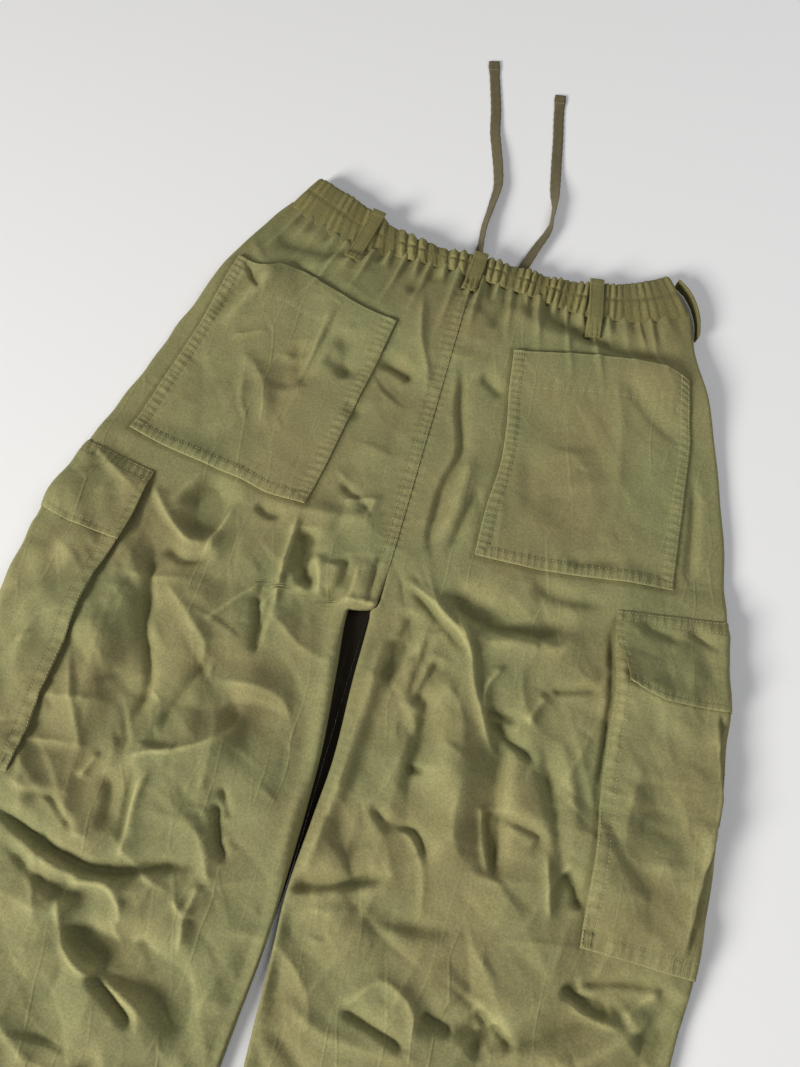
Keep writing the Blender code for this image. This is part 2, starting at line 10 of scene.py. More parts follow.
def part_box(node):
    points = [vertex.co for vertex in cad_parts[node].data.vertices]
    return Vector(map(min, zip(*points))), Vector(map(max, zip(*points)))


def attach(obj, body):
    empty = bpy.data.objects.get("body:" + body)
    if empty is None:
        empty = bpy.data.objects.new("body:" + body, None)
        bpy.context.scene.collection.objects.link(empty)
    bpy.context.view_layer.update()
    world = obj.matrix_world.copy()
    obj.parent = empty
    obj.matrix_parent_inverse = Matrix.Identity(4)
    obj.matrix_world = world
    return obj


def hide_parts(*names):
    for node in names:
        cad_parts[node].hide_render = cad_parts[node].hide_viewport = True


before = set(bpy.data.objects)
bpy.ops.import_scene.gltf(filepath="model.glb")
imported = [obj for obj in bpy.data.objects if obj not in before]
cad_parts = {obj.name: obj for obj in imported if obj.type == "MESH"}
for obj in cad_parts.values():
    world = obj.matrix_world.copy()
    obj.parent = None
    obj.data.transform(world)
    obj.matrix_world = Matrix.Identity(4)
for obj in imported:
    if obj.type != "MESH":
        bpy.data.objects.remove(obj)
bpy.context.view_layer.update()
mm = 0.001

# All shapes are worked out in millimetres from the crotch, with +Y up to the waist. The CAD seat
# ends at the centre seam and the CAD waistband at its highest corner, which places the crotch.
seamGap = 0.15
bandCorner = 424.0
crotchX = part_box("back_left")[1].x / mm + seamGap
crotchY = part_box("waistband_back")[1].y / mm - bandCorner

garment = {
    "clothWall": 1.0,        # thickness of one ply as it shows at an edge
    "edgeRadius": 5.0,       # round of the folded side edges
    "cargoStack": 4.5,       # rise of the front ply over the pocket half that lies below it
    "waistHeight": 14.0,     # height of the back ply where the waistband holds it
    "inseamHeight": 2.2,     # the inseams come down onto the front ply in a tight roll
    "inseamRadius": 2.6,
    "meshStep": 1.9,         # spacing of the cloth mesh where it shows best
    "seatBulge": (6.6, 282.0, 42.0),     # height, y and reach of the rise over the pockets
    "inseamRoll": (3.4, 7.0, 6.0),       # height, distance from the edge and reach of its rise
    "lowest": 4.6,           # the back ply never lies lower than this
    "seed": 7,
}

# Sections of each leg: y, the back ply's inner and outer edge, the front ply's inner edge, and
# how far the back ply arches up.
legSections = {
    "left": np.array([
        (430, 0, -182, 0, 1.0), (384, 0, -205, 0, 1.0), (341, 0, -228, 0, 2.0),
        (284, 0, -249, 0, 3.0), (191, 0, -274, 0, 4.0), (88, 0, -300, 0, 5.0),
        (50, 0, -308, 0, 5.0), (3, -1.5, -316, -8, 5.5), (-2, -9, -316, -8, 5.7),
        (-6, -25, -317, -8.05, 6.0),
        (-60, -19, -319, -8.05, 6.5), (-140, -11, -318, -8.05, 7.0),
        (-200, -9.8, -316, -8.05, 7.0), (-260, -10, -312, -10, 7.0),
        (-360, -17, -303, -17, 6.5), (-500, -27, -297, -27, 6.0),
        (-650, -37, -291, -37, 5.0), (-715, -41, -289, -41, 4.5)], float),
    "right": np.array([
        (430, 0, 188, 0, 1.0), (370, 0, 220, 0, 1.0), (341, 0, 228, 0, 2.0),
        (284, 0, 251, 0, 3.0), (191, 0, 279, 0, 4.0), (88, 0, 299, 0, 5.0),
        (50, 0, 305, 0, 5.0), (4, -1, 312, -8, 5.5), (-2, -6, 313, -8, 5.7),
        (-8, -5, 314, -7.95, 6.0),
        (-60, -4, 318, -7.95, 6.5), (-130, -1, 320, -7.95, 7.0),
        (-180, -4, 320, -7.95, 7.0), (-240, -7.5, 317, -7.7, 7.0),
        (-280, -5, 312, -5, 7.0), (-360, -1, 303, -1, 6.5), (-500, 10, 293, 10, 6.0),
        (-650, 24, 283, 24, 5.0), (-715, 29, 280, 29, 4.5)], float),
}
sideSign = {"left": -1.0, "right": 1.0}

# The waistband from its left end to its right end: plan points of its lower and upper edge.
backBand = np.array([
    (-204, 382, -184, 424), (-160, 361, -146, 411), (-118, 346.5, -114, 397),
    (-80, 352, -79, 383), (-30, 353, -30, 377), (0, 351, -1, 378), (40, 348, 40, 377),
    (80, 343, 79, 375), (118, 340, 116, 380), (165, 347, 152, 391), (219, 370, 190, 412)],
    float)
frontBand = np.array([
    (-204, 382, -184, 424), (-160, 358, -150, 402), (-118, 343, -114, 385),
    (-60, 333, -59, 371), (0, 330, -1, 367), (60, 332, 59, 369), (118, 339, 114, 378),
    (165, 351, 150, 392), (219, 370, 190, 412)], float)

# Folds of the back ply, each as height, width, skew, power and path. A hollow has a height below
# 0. The skew makes the side to the left of the path gentler (above 0) or steeper, and a low power
# gives a pressed, sharp line.
folds = (
    # seams that meet over the fork
    (-1.3, 2.2, 0.0, 1.2, ((-28, 46), (-31, 20), (-30, -2))),
    (-1.9, 2.4, 0.3, 1.1, ((-2, 52), (-12, 44), (-11, 22), (-10, 0))),
    (1.3, 6.0, 0.0, 1.5, ((-21, 44), (-20, 2))),
    (1.8, 4.0, 0.0, 1.6, ((-34, 0), (-20, 3), (6, 4))),
    # the pockets' own cloth
    (-4.0, 15, 0.2, 2.0, ((-105, 256), (-88, 204))),
    (-3.6, 14, 0.2, 2.0, ((-145, 234), (-127, 186))),
    (-1.8, 3.2, 0.4, 1.1, ((-115, 287), (-125, 229), (-139, 161))),
    (-2.6, 8, 0.3, 1.6, ((-62, 238), (-27, 224))),
    (-2.4, 6, 0.5, 1.3, ((-222, 300), (-196, 270))),
    (1.1, 3.5, 0.4, 1.1, ((-213, 219), (-195, 226), (-175, 237))),
    (2.4, 10, 0.0, 1.6, ((-197, 208), (-167, 184), (-148, 135))),
    (-2.6, 8, 0.4, 1.4, ((221, 49), (242, 46), (264, 44))),
    (-2.4, 6, 0.4, 1.3, ((266, 55), (283, 50), (300, 44))),
    # below the waistband, left
    (-3.2, 12, 0.0, 2.0, ((-205, 338), (-165, 338), (-128, 347))),
    (2.6, 16, 0.3, 1.6, ((-172, 310), (-120, 335), (-92, 347))),
    (-2.4, 9, 0.0, 2.0, ((-34, 349), (-46, 332), (-62, 314))),
    (2.0, 7, -0.3, 1.4, ((-44, 322), (-33, 268), (-18, 236), (-12, 206))),
    (-2.6, 9, 0.0, 2.0, ((-70, 237), (-46, 232), (-22, 226))),
    (-1.6, 9, 0.0, 2.0, ((-86, 182), (-62, 172))),
    (2.2, 20, 0.0, 2.0, ((-50, 210), (-40, 120))),
    (1.1, 5, 0.4, 1.3, ((-76, 118), (-50, 100), (-28, 84))),
    # on the left pocket
    (-2.4, 15, 0.0, 2.0, ((-150, 216), (-144, 178))),
    (-2.0, 9, 0.0, 2.0, ((-118, 226), (-84, 213))),
    (-3.2, 8, 0.2, 1.7, ((-203, 302), (-220, 268), (-238, 232))),
    (3.4, 12, -0.2, 1.8, ((-186, 304), (-206, 262), (-226, 228))),
    (1.0, 6, 0.4, 1.4, ((-190, 212), (-183, 168), (-160, 128))),
    (2.2, 34, 0.0, 2.0, ((-215, 165), (-170, 130))),
    # hollows below the left pocket
    (-8.5, 22, 0.0, 2.4, ((-196, 66), (-176, 52), (-174, 14))),
    (2.8, 6, 0.3, 1.5, ((-228, 56), (-204, 30), (-168, 8))),
    (3.4, 6, 0.5, 1.3, ((-150, 62), (-156, 34), (-163, -4))),
    (3.4, 13, 0.0, 1.8, ((-118, 66), (-70, 72), (-14, 78))),
    (-2.6, 7, 0.2, 1.8, ((-134, 66), (-118, 58), (-104, 62))),
    (2.6, 12, 0.0, 2.0, ((-48, 34), (-44, 2))),
    (-2.4, 6, 0.0, 1.6, ((-42, 44), (-36, 20), (-48, -14))),
    (1.8, 5, 0.0, 1.4, ((-30, 44), (-26, 18), (-32, -6))),
    # left leg
    (1.6, 6, -0.4, 1.3, ((-244, -100), (-224, -140), (-206, -172), (-198, -190))),
    (2.6, 20, 0.0, 2.0, ((-222, -60), (-216, -190))),
    (3.2, 22, 0.0, 2.0, ((-150, -10), (-156, -110))),
    (-4.6, 20, 0.1, 2.2, ((-122, -62), (-112, -102), (-104, -142))),
    (-3.4, 10, 0.3, 1.8, ((-176, -188), (-166, -212), (-164, -236))),
    (2.2, 9, 0.0, 1.6, ((-150, -176), (-142, -220), (-136, -248))),
    (2.0, 24, 0.0, 2.0, ((-60, -120), (-52, -210))),
    (2.4, 10, 0.5, 1.5, ((-252, -214), (-214, -222), (-186, -240), (-160, -242))),
    (2.8, 9, 0.0, 1.6, ((-232, -256), (-184, -268), (-140, -272), (-104, -262))),
    (-2.6, 6, 0.2, 1.6, ((-240, -262), (-196, -280), (-150, -288))),
    (3.6, 16, 0.0, 1.9, ((-214, -292), (-160, -296), (-104, -300))),
    (2.6, 8, -0.4, 1.5, ((-168, -312), (-132, -334), (-92, -344), (-62, -362))),
    (-2.2, 8, 0.3, 1.5, ((-140, -332), (-112, -344), (-88, -360))),
    (3.0, 26, 0.0, 2.0, ((-236, -320), (-190, -380))),
    (-3.4, 20, 0.0, 2.0, ((-230, -470), (-160, -492), (-96, -486))),
    (2.6, 18, 0.0, 2.0, ((-190, -440), (-120, -450))),
    (-2.6, 16, 0.0, 2.0, ((-250, -610), (-180, -596), (-110, -622))),
    # below the waistband, right
    (-5.0, 12, 0.2, 1.9, ((66, 340), (112, 322), (160, 314), (222, 322))),
    (2.4, 14, 0.0, 1.8, ((30, 338), (80, 310), (120, 304))),
    (-2.0, 8, 0.0, 1.8, ((44, 342), (36, 318), (30, 296))),
    (-2.6, 8, 0.0, 1.8, ((32, 250), (46, 240), (62, 230))),
    (-3.2, 7, 0.3, 1.7, ((12, 262), (22, 206), (34, 162), (26, 122), (26, 84), (42, 46))),
    (2.8, 10, 0.0, 1.8, ((44, 168), (44, 118), (34, 70))),
    (-2.0, 5, 0.0, 1.5, ((60, 138), (54, 112), (50, 84), (44, 62))),
    (1.6, 14, 0.0, 2.0, ((14, 320), (10, 270))),
    # on the right pocket
    (-2.2, 11, 0.2, 1.9, ((164, 286), (200, 250), (238, 228))),
    (1.2, 10, 0.0, 1.6, ((150, 296), (172, 240), (186, 130))),
    (-1.4, 10, 0.0, 2.0, ((92, 186), (112, 120))),
    (-2.2, 9, 0.0, 1.8, ((150, 86), (176, 96), (204, 104))),
    (2.0, 30, 0.0, 2.0, ((130, 200), (150, 150))),
    # hollows below the right pocket
    (3.2, 16, 0.2, 1.8, ((100, 2), (150, 6), (184, 26))),
    (-3.4, 9, 0.0, 1.8, ((124, 60), (160, 56), (196, 62))),
    (1.9, 4, 0.4, 1.3, ((12, 34), (52, 16), (80, -6), (98, -26))),
    (-1.8, 4, -0.2, 1.4, ((20, 30), (60, 2), (88, -18))),
    (-2.4, 6, 0.0, 1.7, ((250, 204), (258, 150), (262, 92))),
    (-3.0, 5, 0.0, 1.7, ((200, 50), (208, 14), (214, -30), (219, -120))),
    # right leg
    (4.2, 9, 0.0, 2.0, ((10, -4), (13, -60), (11, -140), (2, -226))),
    (-2.8, 8, 0.0, 1.8, ((40, 12), (30, -28), (22, -66))),
    (-2.0, 5, 0.0, 1.6, ((52, -4), (50, -34), (46, -70))),
    (-5.0, 11, 0.2, 1.9, ((62, -50), (66, -92), (62, -140))),
    (5.2, 20, 0.0, 2.2, ((88, -62), (98, -120), (112, -196))),
    (-6.4, 14, -0.3, 1.9, ((128, -62), (136, -120), (150, -184))),
    (-2.6, 8, 0.0, 1.7, ((164, -66), (182, -112), (200, -164), (206, -202))),
    (2.4, 10, 0.0, 1.8, ((176, -60), (196, -104), (208, -140))),
    (2.4, 10, 0.0, 1.8, ((0, -252), (50, -240), (110, -246))),
    (1.4, 5, 0.3, 1.4, ((40, -166), (72, -170), (94, -198), (102, -238))),
    (-6.4, 13, 0.2, 1.9, ((172, -304), (214, -280), (250, -256), (304, -232))),
    (3.4, 10, 0.0, 1.8, ((214, -306), (256, -282), (300, -238))),
    (-4.4, 10, 0.0, 1.8, ((252, -312), (284, -288), (316, -244))),
    (1.6, 4, 0.0, 1.3, ((222, -250), (244, -262), (272, -262))),
    (-4.6, 13, 0.2, 1.9, ((110, -300), (150, -292), (196, -298))),
    (2.2, 9, 0.0, 1.6, ((10, -312), (60, -326), (120, -326))),
    (-2.6, 10, 0.0, 1.8, ((6, -330), (40, -352), (60, -372))),
    (-3.4, 20, 0.0, 2.0, ((60, -452), (130, -476), (210, -462))),
    (-2.6, 16, 0.0, 2.0, ((80, -600), (160, -616), (240, -598))),
)


# Pressed lines and the dark facets between them, in the same columns.
creases = (
    # seat and left thigh
    (-2.6, 6, 0.0, 1.5, ((-198, 4), (-176, -3), (-152, 8))),
    (3.0, 5, -0.4, 1.2, ((-92, 67), (-91, 21), (-88, -27))),
    (-6.5, 10, 0.0, 1.7, ((-80, 56), (-74, 24), (-66, -1))),
    (2.6, 6, 0.0, 1.3, ((-66, 36), (-58, 14), (-52, -6))),
    (-3.8, 7, 0.0, 1.25, ((-212, 6), (-200, -28), (-192, -64), (-168, -116), (-172, -156))),
    (-3.0, 4.5, 0.0, 1.2, ((-106, -12), (-97, -42), (-91, -67))),
    (1.8, 6, 0.4, 1.15, ((-140, -51), (-120, -24), (-102, -2))),
    (2.4, 8, 0.0, 1.3, ((-187, -26), (-148, -56), (-133, -70), (-128, -92))),
    (-3.2, 9, 0.0, 1.4, ((-126, -78), (-138, -112), (-150, -148))),
    (2.8, 7, 0.0, 1.2, ((-169, -176), (-147, -166), (-110, -150), (-87, -127), (-84, -109))),
    (-3.4, 8, 0.0, 1.2, ((-156, -176), (-152, -206), (-143, -246))),
    (2.0, 4, 0.0, 1.15, ((-141, -176), (-146, -206), (-141, -254))),
    (1.6, 4, 0.0, 1.15, ((-195, -201), (-187, -176))),
    (-2.2, 5, 0.0, 1.2, ((-66, 107), (-37, 90), (-27, 78))),
    (1.8, 5, 0.0, 1.2, ((-33, 76), (-30, 97), (-61, 88))),
    (1.8, 9, 0.4, 1.15, ((-126, 287), (-127, 257), (-136, 160))),
    # lower left leg
    (-3.4, 6, -0.3, 1.3, ((-233, -222), (-214, -220), (-198, -231), (-181, -244))),
    (-5.4, 7, 0.3, 1.3, ((-262, -234), (-197, -258), (-161, -263), (-140, -260), (-116, -249),
                         (-75, -238))),
    (2.6, 6, 0.3, 1.2, ((-176, -277), (-146, -268), (-126, -288), (-126, -299))),
    (2.4, 6, 0.3, 1.2, ((-176, -277), (-164, -313), (-138, -331), (-122, -330))),
    (-8.5, 17, 0.3, 1.8, ((-176, -300), (-129, -319), (-86, -328), (-56, -344), (-36, -358))),
    (-3.0, 5, 0.0, 1.2, ((-137, -332), (-86, -359))),
    (-3.4, 4.5, 0.0, 1.2, ((-83, -187), (-70, -219), (-58, -231))),
    (-1.8, 3.5, 0.0, 1.2, ((-83, -175), (-67, -199))),
    (2.0, 5, 0.3, 1.2, ((-94, -264), (-78, -278), (-74, -306))),
    (2.0, 5, -0.3, 1.2, ((-78, -278), (-74, -249))),
    (-3.4, 4.5, 0.0, 1.2, ((-107, -301), (-87, -325))),
    # right thigh
    (-7.5, 13, 0.4, 1.7, ((52, 34), (98, 18), (142, 20), (172, 40))),
    (3.2, 6, -0.3, 1.2, ((65, 23), (87, -12), (99, -44), (112, -67), (129, -91), (142, -94))),
    (2.0, 4, 0.0, 1.2, ((119, -16), (108, -42), (111, -63))),
    (-2.8, 5, 0.0, 1.2, ((112, -60), (143, -60))),
    (-3.8, 7, 0.4, 1.2, ((116, -64), (140, -78), (164, -90))),
    (2.6, 6, 0.0, 1.2, ((147, -61), (160, -30))),
    (-2.4, 3, 0.0, 1.2, ((59, -123), (75, -119))),
    (-4.0, 8, 0.3, 1.2, ((65, -25), (58, -48), (52, -73))),
    (-3.0, 7, 0.0, 1.3, ((28, -18), (20, -60))),
    (-2.8, 7, 0.0, 1.3, ((32, 7), (24, -37))),
    (-4.6, 9, 0.0, 1.25, ((136, -134), (143, -160), (148, -188))),
    (2.4, 4, 0.3, 1.15, ((126, -132), (137, -166), (148, -188))),
    (-2.6, 5, 0.0, 1.2, ((140, -137), (179, -146), (174, -160))),
    (-3.0, 6, 0.0, 1.3, ((38, -155), (59, -168), (77, -167), (99, -190))),
    (-2.2, 4, 0.0, 1.2, ((162, -28), (203, -15))),
    # lower right leg
    (-4.8, 8, 0.4, 1.5, ((-10, -236), (25, -224), (55, -212), (71, -203))),
    (-3.2, 12, 0.3, 1.8, ((31, -242), (87, -237), (141, -226))),
    (-3.4, 6, 0.4, 1.2, ((57, -306), (88, -312), (118, -320))),
    (2.4, 7, 0.0, 1.2, ((58, -306), (86, -278), (112, -292), (117, -317))),
    (-3.6, 7, 0.0, 1.2, ((158, -279), (170, -290), (162, -312))),
    (-2.4, 4, 0.0, 1.2, ((173, -285), (194, -298))),
    (-2.4, 4, 0.0, 1.2, ((118, -293), (147, -299))),
    (-4.8, 6, 0.4, 1.3, ((217, -245), (235, -253), (261, -256))),
    (-2.8, 5, 0.3, 1.25, ((232, -241), (263, -233), (293, -226))),
    (3.0, 8, 0.0, 1.3, ((267, -255), (295, -227))),
    (-6.0, 14, 0.0, 1.8, ((287, -278), (317, -230))),
    (1.8, 3.5, 0.0, 1.2, ((185, -153), (199, -204))),
    (-3.6, 7, 0.0, 1.4, ((202, -165), (214, -174), (222, -190))),
)


foldScale = {
    "height": 1.25,          # of the folds above
    "width": 0.85,
    "creaseHeight": 1.6,
    # the lower legs carry the other leg's upper folds again: their height, how far they move
    # down, how they shrink across, and the stretch of leg that they come from
    "lowerHeight": 1.1,
    "lowerShift": 318.0,
    "lowerAcross": -0.88,
    "lowerFrom": (-395.0, -75.0),
}


def reportStage(text):
    print("cargo pants:", text)


def smoothStep(low, high, value):
    t = np.clip((value - low) / (high - low), 0.0, 1.0)
    return t * t * (3.0 - 2.0 * t)


def quarterRound(t):
    return np.sqrt(np.maximum(0.0, 1.0 - (1.0 - np.clip(t, 0.0, 1.0)) ** 2))


def bell(distance, at, width):
    # 1 at a distance, falling away to both sides
    return np.exp(-((distance - at) / width) ** 2)


def smoothCurve(xs, ys, x):
    # a curve through the points that never swings past them
    xs = np.asarray(xs, float)
    ys = np.asarray(ys, float)
    x = np.clip(x, xs[0], xs[-1])
    step = np.diff(xs)
    slope = np.diff(ys) / step
    tangent = np.zeros_like(ys)
    tangent[0] = slope[0]
    tangent[-1] = slope[-1]
    for k in range(1, len(xs) - 1):
        if slope[k - 1] * slope[k] > 0.0:
            first = 2.0 * step[k] + step[k - 1]
            second = step[k] + 2.0 * step[k - 1]
            tangent[k] = (first + second) / (first / slope[k - 1] + second / slope[k])
    k = np.clip(np.searchsorted(xs, x, side="right") - 1, 0, len(xs) - 2)
    t = (x - xs[k]) / step[k]
    start = (1.0 + 2.0 * t) * (1.0 - t) ** 2
    finish = t * t * (3.0 - 2.0 * t)
    leave = t * (1.0 - t) ** 2 * step[k]
    arrive = t * t * (t - 1.0) * step[k]
    return start * ys[k] + leave * tangent[k] + finish * ys[k + 1] + arrive * tangent[k + 1]


def curvePoints(points, count):
    # an even walk of count points along a smooth plan curve
    points = np.asarray(points, float)
    lengths = np.hypot(*np.diff(points[:, :2], axis=0).T)
    along = np.concatenate(([0.0], np.cumsum(lengths)))
    at = np.linspace(0.0, along[-1], count) if np.isscalar(count) else count * along[-1]
    return np.stack([smoothCurve(along, points[:, k], at) for k in range(points.shape[1])], -1)


def waves(x, y, size, seed, count=7):
    # smooth, uneven rise and fall between about -1 and 1
    rng = np.random.default_rng(seed)
    total = 0.0
    for _ in range(count):
        turn = rng.uniform(0.0, 2.0 * math.pi)
        pitch = 2.0 * math.pi / (size * rng.uniform(0.7, 1.6))
        shift = rng.uniform(0.0, 2.0 * math.pi)
        total = total + np.sin((x * math.cos(turn) + y * math.sin(turn)) * pitch + shift)
    return total / math.sqrt(count)


def legShape(side, y):
    # inner edge, outer edge and front ply's inner edge, and the arch of the back ply
    rows = legSections[side][::-1]
    values = [smoothCurve(rows[:, 0], rows[:, k], y) for k in range(1, 5)]
    values[1] = values[1] + 0.7 * waves(y, 0.0 * y, 46.0, 31 + len(side), 5)
    return values


def bandLow(x, sections=backBand):
    return smoothCurve(sections[:, 0], sections[:, 1], x)


cargoSizes = {
    # width of the half on the front ply, top and bottom of the pocket's face
    "left": {"frontHalf": 100.0, "faceTop": 70.0, "bottom": -211.0},
    "right": {"frontHalf": 84.0, "faceTop": 58.0, "bottom": -215.0},
}


def cargoZone(side, x, y):
    # 1 where the pocket's half under the front ply lifts both plies, 0 away from it
    sizes = cargoSizes[side]
    outer = legShape(side, y)[1]
    across = 1.0 - smoothStep(sizes["frontHalf"] + 4.0, sizes["frontHalf"] + 30.0,
                              np.abs(outer - x))
    bottom = sizes["bottom"]
    top = sizes["faceTop"] + 22.0
    along = smoothStep(bottom - 50.0, bottom - 6.0, y) * (1.0 - smoothStep(top, top + 28.0, y))
    return across * along


reliefCell = 1.0
reliefX = np.arange(-340.0, 340.1, reliefCell)
reliefY = np.arange(-730.0, 440.1, reliefCell)
planX, planY = np.meshgrid(reliefX, reliefY)


def addFold(target, path, height, width, skew=0.0, power=2.0, startTaper=0.25, endTaper=0.3):
    # adds a ridge along a smooth path, which tapers at its ends
    path = curvePoints(path, 3 * len(path))
    low = path.min(axis=0) - 3.0 * width
    high = path.max(axis=0) + 3.0 * width
    rows = slice(*np.searchsorted(reliefY, (low[1], high[1])))
    columns = slice(*np.searchsorted(reliefX, (low[0], high[0])))
    x = planX[rows, columns]
    y = planY[rows, columns]
    if x.size == 0:
        return
    lengths = np.hypot(*np.diff(path, axis=0).T)
    walked = np.concatenate(([0.0], np.cumsum(lengths)))
    nearest = np.full(x.shape, 1e9)
    aside = np.zeros(x.shape)
    along = np.zeros(x.shape)
    for k, length in enumerate(lengths):
        run = (path[k + 1] - path[k]) / length
        reachX = x - path[k, 0]
        reachY = y - path[k, 1]
        t = np.clip(reachX * run[0] + reachY * run[1], 0.0, length)
        away = np.hypot(reachX - run[0] * t, reachY - run[1] * t)
        closer = away < nearest
        nearest = np.where(closer, away, nearest)
        aside = np.where(closer, run[0] * reachY - run[1] * reachX, aside)
        along = np.where(closer, (walked[k] + t) / walked[-1], along)
    reach = width * (1.0 + skew * np.sign(aside))
    profile = np.exp(-(nearest / reach) ** power)
    if startTaper > 0.0:
        profile = profile * smoothStep(-0.02, startTaper, along)
    if endTaper > 0.0:
        profile = profile * (1.0 - smoothStep(1.0 - endTaper, 1.02, along))
    target[rows, columns] += height * profile


def blurred(values, radius):
    # a relief smoothed over radius mm
    taps = np.arange(-int(2 * radius / reliefCell) - 1, int(2 * radius / reliefCell) + 2)
    weights = np.exp(-0.5 * (taps * reliefCell / radius) ** 2)
    weights = weights / weights.sum()
    for axis in (0, 1):
        padding = [(0, 0), (0, 0)]
        padding[axis] = (-taps[0], taps[-1])
        padded = np.pad(values, padding, mode="edge")
        size = values.shape[axis]
        total = np.zeros_like(values)
        for weight, tap in zip(weights, taps):
            start = tap - taps[0]
            part = padded[start:start + size] if axis == 0 else padded[:, start:start + size]
            total = total + weight * part
        values = total
    return values


def facetLayer(size, stretch, turn, seed):
    # crumpled cloth: uneven heights joined by flat facets with straight creases between them
    rng = np.random.default_rng(seed)
    middleY = -145.0
    halfWide, halfHigh = 340.0, 585.0
    reach = 900.0 / size
    u, v = np.meshgrid(np.arange(-reach, reach), np.arange(-reach / stretch, reach / stretch))
    u = (u + rng.uniform(-0.46, 0.46, u.shape)).ravel()
    v = (v + rng.uniform(-0.46, 0.46, v.shape)).ravel()
    x = size * (u * math.cos(turn) - stretch * v * math.sin(turn))
    y = size * (u * math.sin(turn) + stretch * v * math.cos(turn)) - 150.0
    near = np.abs(x) < halfWide + 2.0 * size
    near &= np.abs(y - middleY) < halfHigh + 2.0 * size
    heights = rng.uniform(-1.0, 1.0, near.sum())
    corners = [Vector(pair) for pair in zip(u[near], v[near])]
    faces = delaunay_2d_cdt(corners, [], [], 0, 1e-6)
    kept = [origin[0] for origin in faces[3]]
    x, y, heights = x[near][kept], y[near][kept], heights[kept]
    layer = np.zeros_like(planX)
    for a, b, c in faces[2]:
        left, right = min(x[a], x[b], x[c]), max(x[a], x[b], x[c])
        low, high = min(y[a], y[b], y[c]), max(y[a], y[b], y[c])
        rows = slice(*np.searchsorted(reliefY, (low, high + 1e-6)))
        columns = slice(*np.searchsorted(reliefX, (left, right + 1e-6)))
        px, py = planX[rows, columns], planY[rows, columns]
        area = (x[b] - x[a]) * (y[c] - y[a]) - (x[c] - x[a]) * (y[b] - y[a])
        if px.size == 0 or abs(area) < 1e-6:
            continue
        second = ((px - x[a]) * (y[c] - y[a]) - (x[c] - x[a]) * (py - y[a])) / area
        third = ((x[b] - x[a]) * (py - y[a]) - (px - x[a]) * (y[b] - y[a])) / area
        inside = (second > -1e-6) & (third > -1e-6) & (second + third < 1.0 + 1e-6)
        plane = heights[a] + second * (heights[b] - heights[a]) + third * (heights[c] - heights[a])
        layer[rows, columns][inside] = plane[inside]
    return layer


crumple = {
    "softHeight": 1.3,       # broad unevenness of the cloth
    "facetHeight": 4.3,      # crumpled facets on the legs
    "fineHeight": 1.3,       # small facets within them
    # layers of facets: size, stretch, turn, seed and share
    "facets": ((46.0, 2.0, 0.35, 11, 1.0), (27.0, 2.2, -0.6, 17, 0.55)),
    "fine": (15.0, 2.0, 0.9, 23),
    "ridgeHeight": 1.35,
    # creases that meet and cross: how far apart they lie, and how high they rise
    "ridges": ((160.0, 3.6), (118.0, 2.6), (88.0, 1.6)),
    "facetCreases": 150,     # long straight creases, steep on one side
    "creases": 260,          # short sharp ones
    "creaseHeight": 1.0,
    "crispness": 1.0,        # how much sharper the folds are than they were drawn
    "gathers": 58,           # ripples that run down from the elastic
}


def addGathers(target, rng):
    # ripples of uneven length that run down from the waistband
    share = np.linspace(0.02, 0.98, crumple["gathers"]) + rng.normal(0, 0.006, crumple["gathers"])
    for k, s in enumerate(share):
        x = backBand[0, 0] + s * (backBand[-1, 0] - backBand[0, 0])
        y = float(bandLow(x)) + 3.0
        centred = 1.0 - abs(2.0 * s - 1.0)
        length = rng.uniform(14, 40) + (rng.uniform(20, 70) if k % 4 == 1 else 0.0)
        drift = x * 0.16 * length / 60.0 + rng.normal(0.0, 2.0)
        height = rng.uniform(1.2, 2.5) * (0.6 + 0.6 * centred) * (1 if k % 2 else -1)
        path = ((x, y), (x + 0.35 * drift, y - 0.45 * length), (x + drift, y - length))
        addFold(target, path, height, rng.uniform(2.4, 4.4), rng.uniform(-0.3, 0.3), 1.8,
                0.0, 0.75)


def addCreases(target, rng):
    # long flat creases first, then short sharp ones, fewer of them on the seat
    total = crumple["facetCreases"] + crumple["creases"]
    made = 0
    while made < total:
        x = rng.uniform(-315, 315)
        y = rng.uniform(-705, 335)
        onLeg = y < 45
        if not onLeg and rng.uniform() > 0.5:
            continue
        large = made < crumple["facetCreases"]
        turn = rng.uniform(0.0, math.pi)
        length = rng.uniform(45, 120) if large else rng.uniform(12, 40)
        bend = rng.normal(0.0, 0.05 if large else 0.14)
        run = np.array((math.cos(turn), math.sin(turn)))
        aside = np.array((-run[1], run[0]))
        start = np.array((x, y))
        path = (start, start + run * 0.5 * length + aside * bend * length, start + run * length)
        height = rng.normal(0.0, 0.6)
        height = math.copysign(0.5 + abs(height), height) * crumple["creaseHeight"]
        width = rng.uniform(4.0, 11.0) if large else rng.uniform(2.0, 3.8)
        height *= (1.0 if onLeg else 0.6) * (1.35 if large else 0.7)
        skew = math.copysign(rng.uniform(0.25, 0.82), rng.normal())
        addFold(target, path, height, width, skew, rng.uniform(1.0, 1.25), 0.4, 0.55)
        made += 1


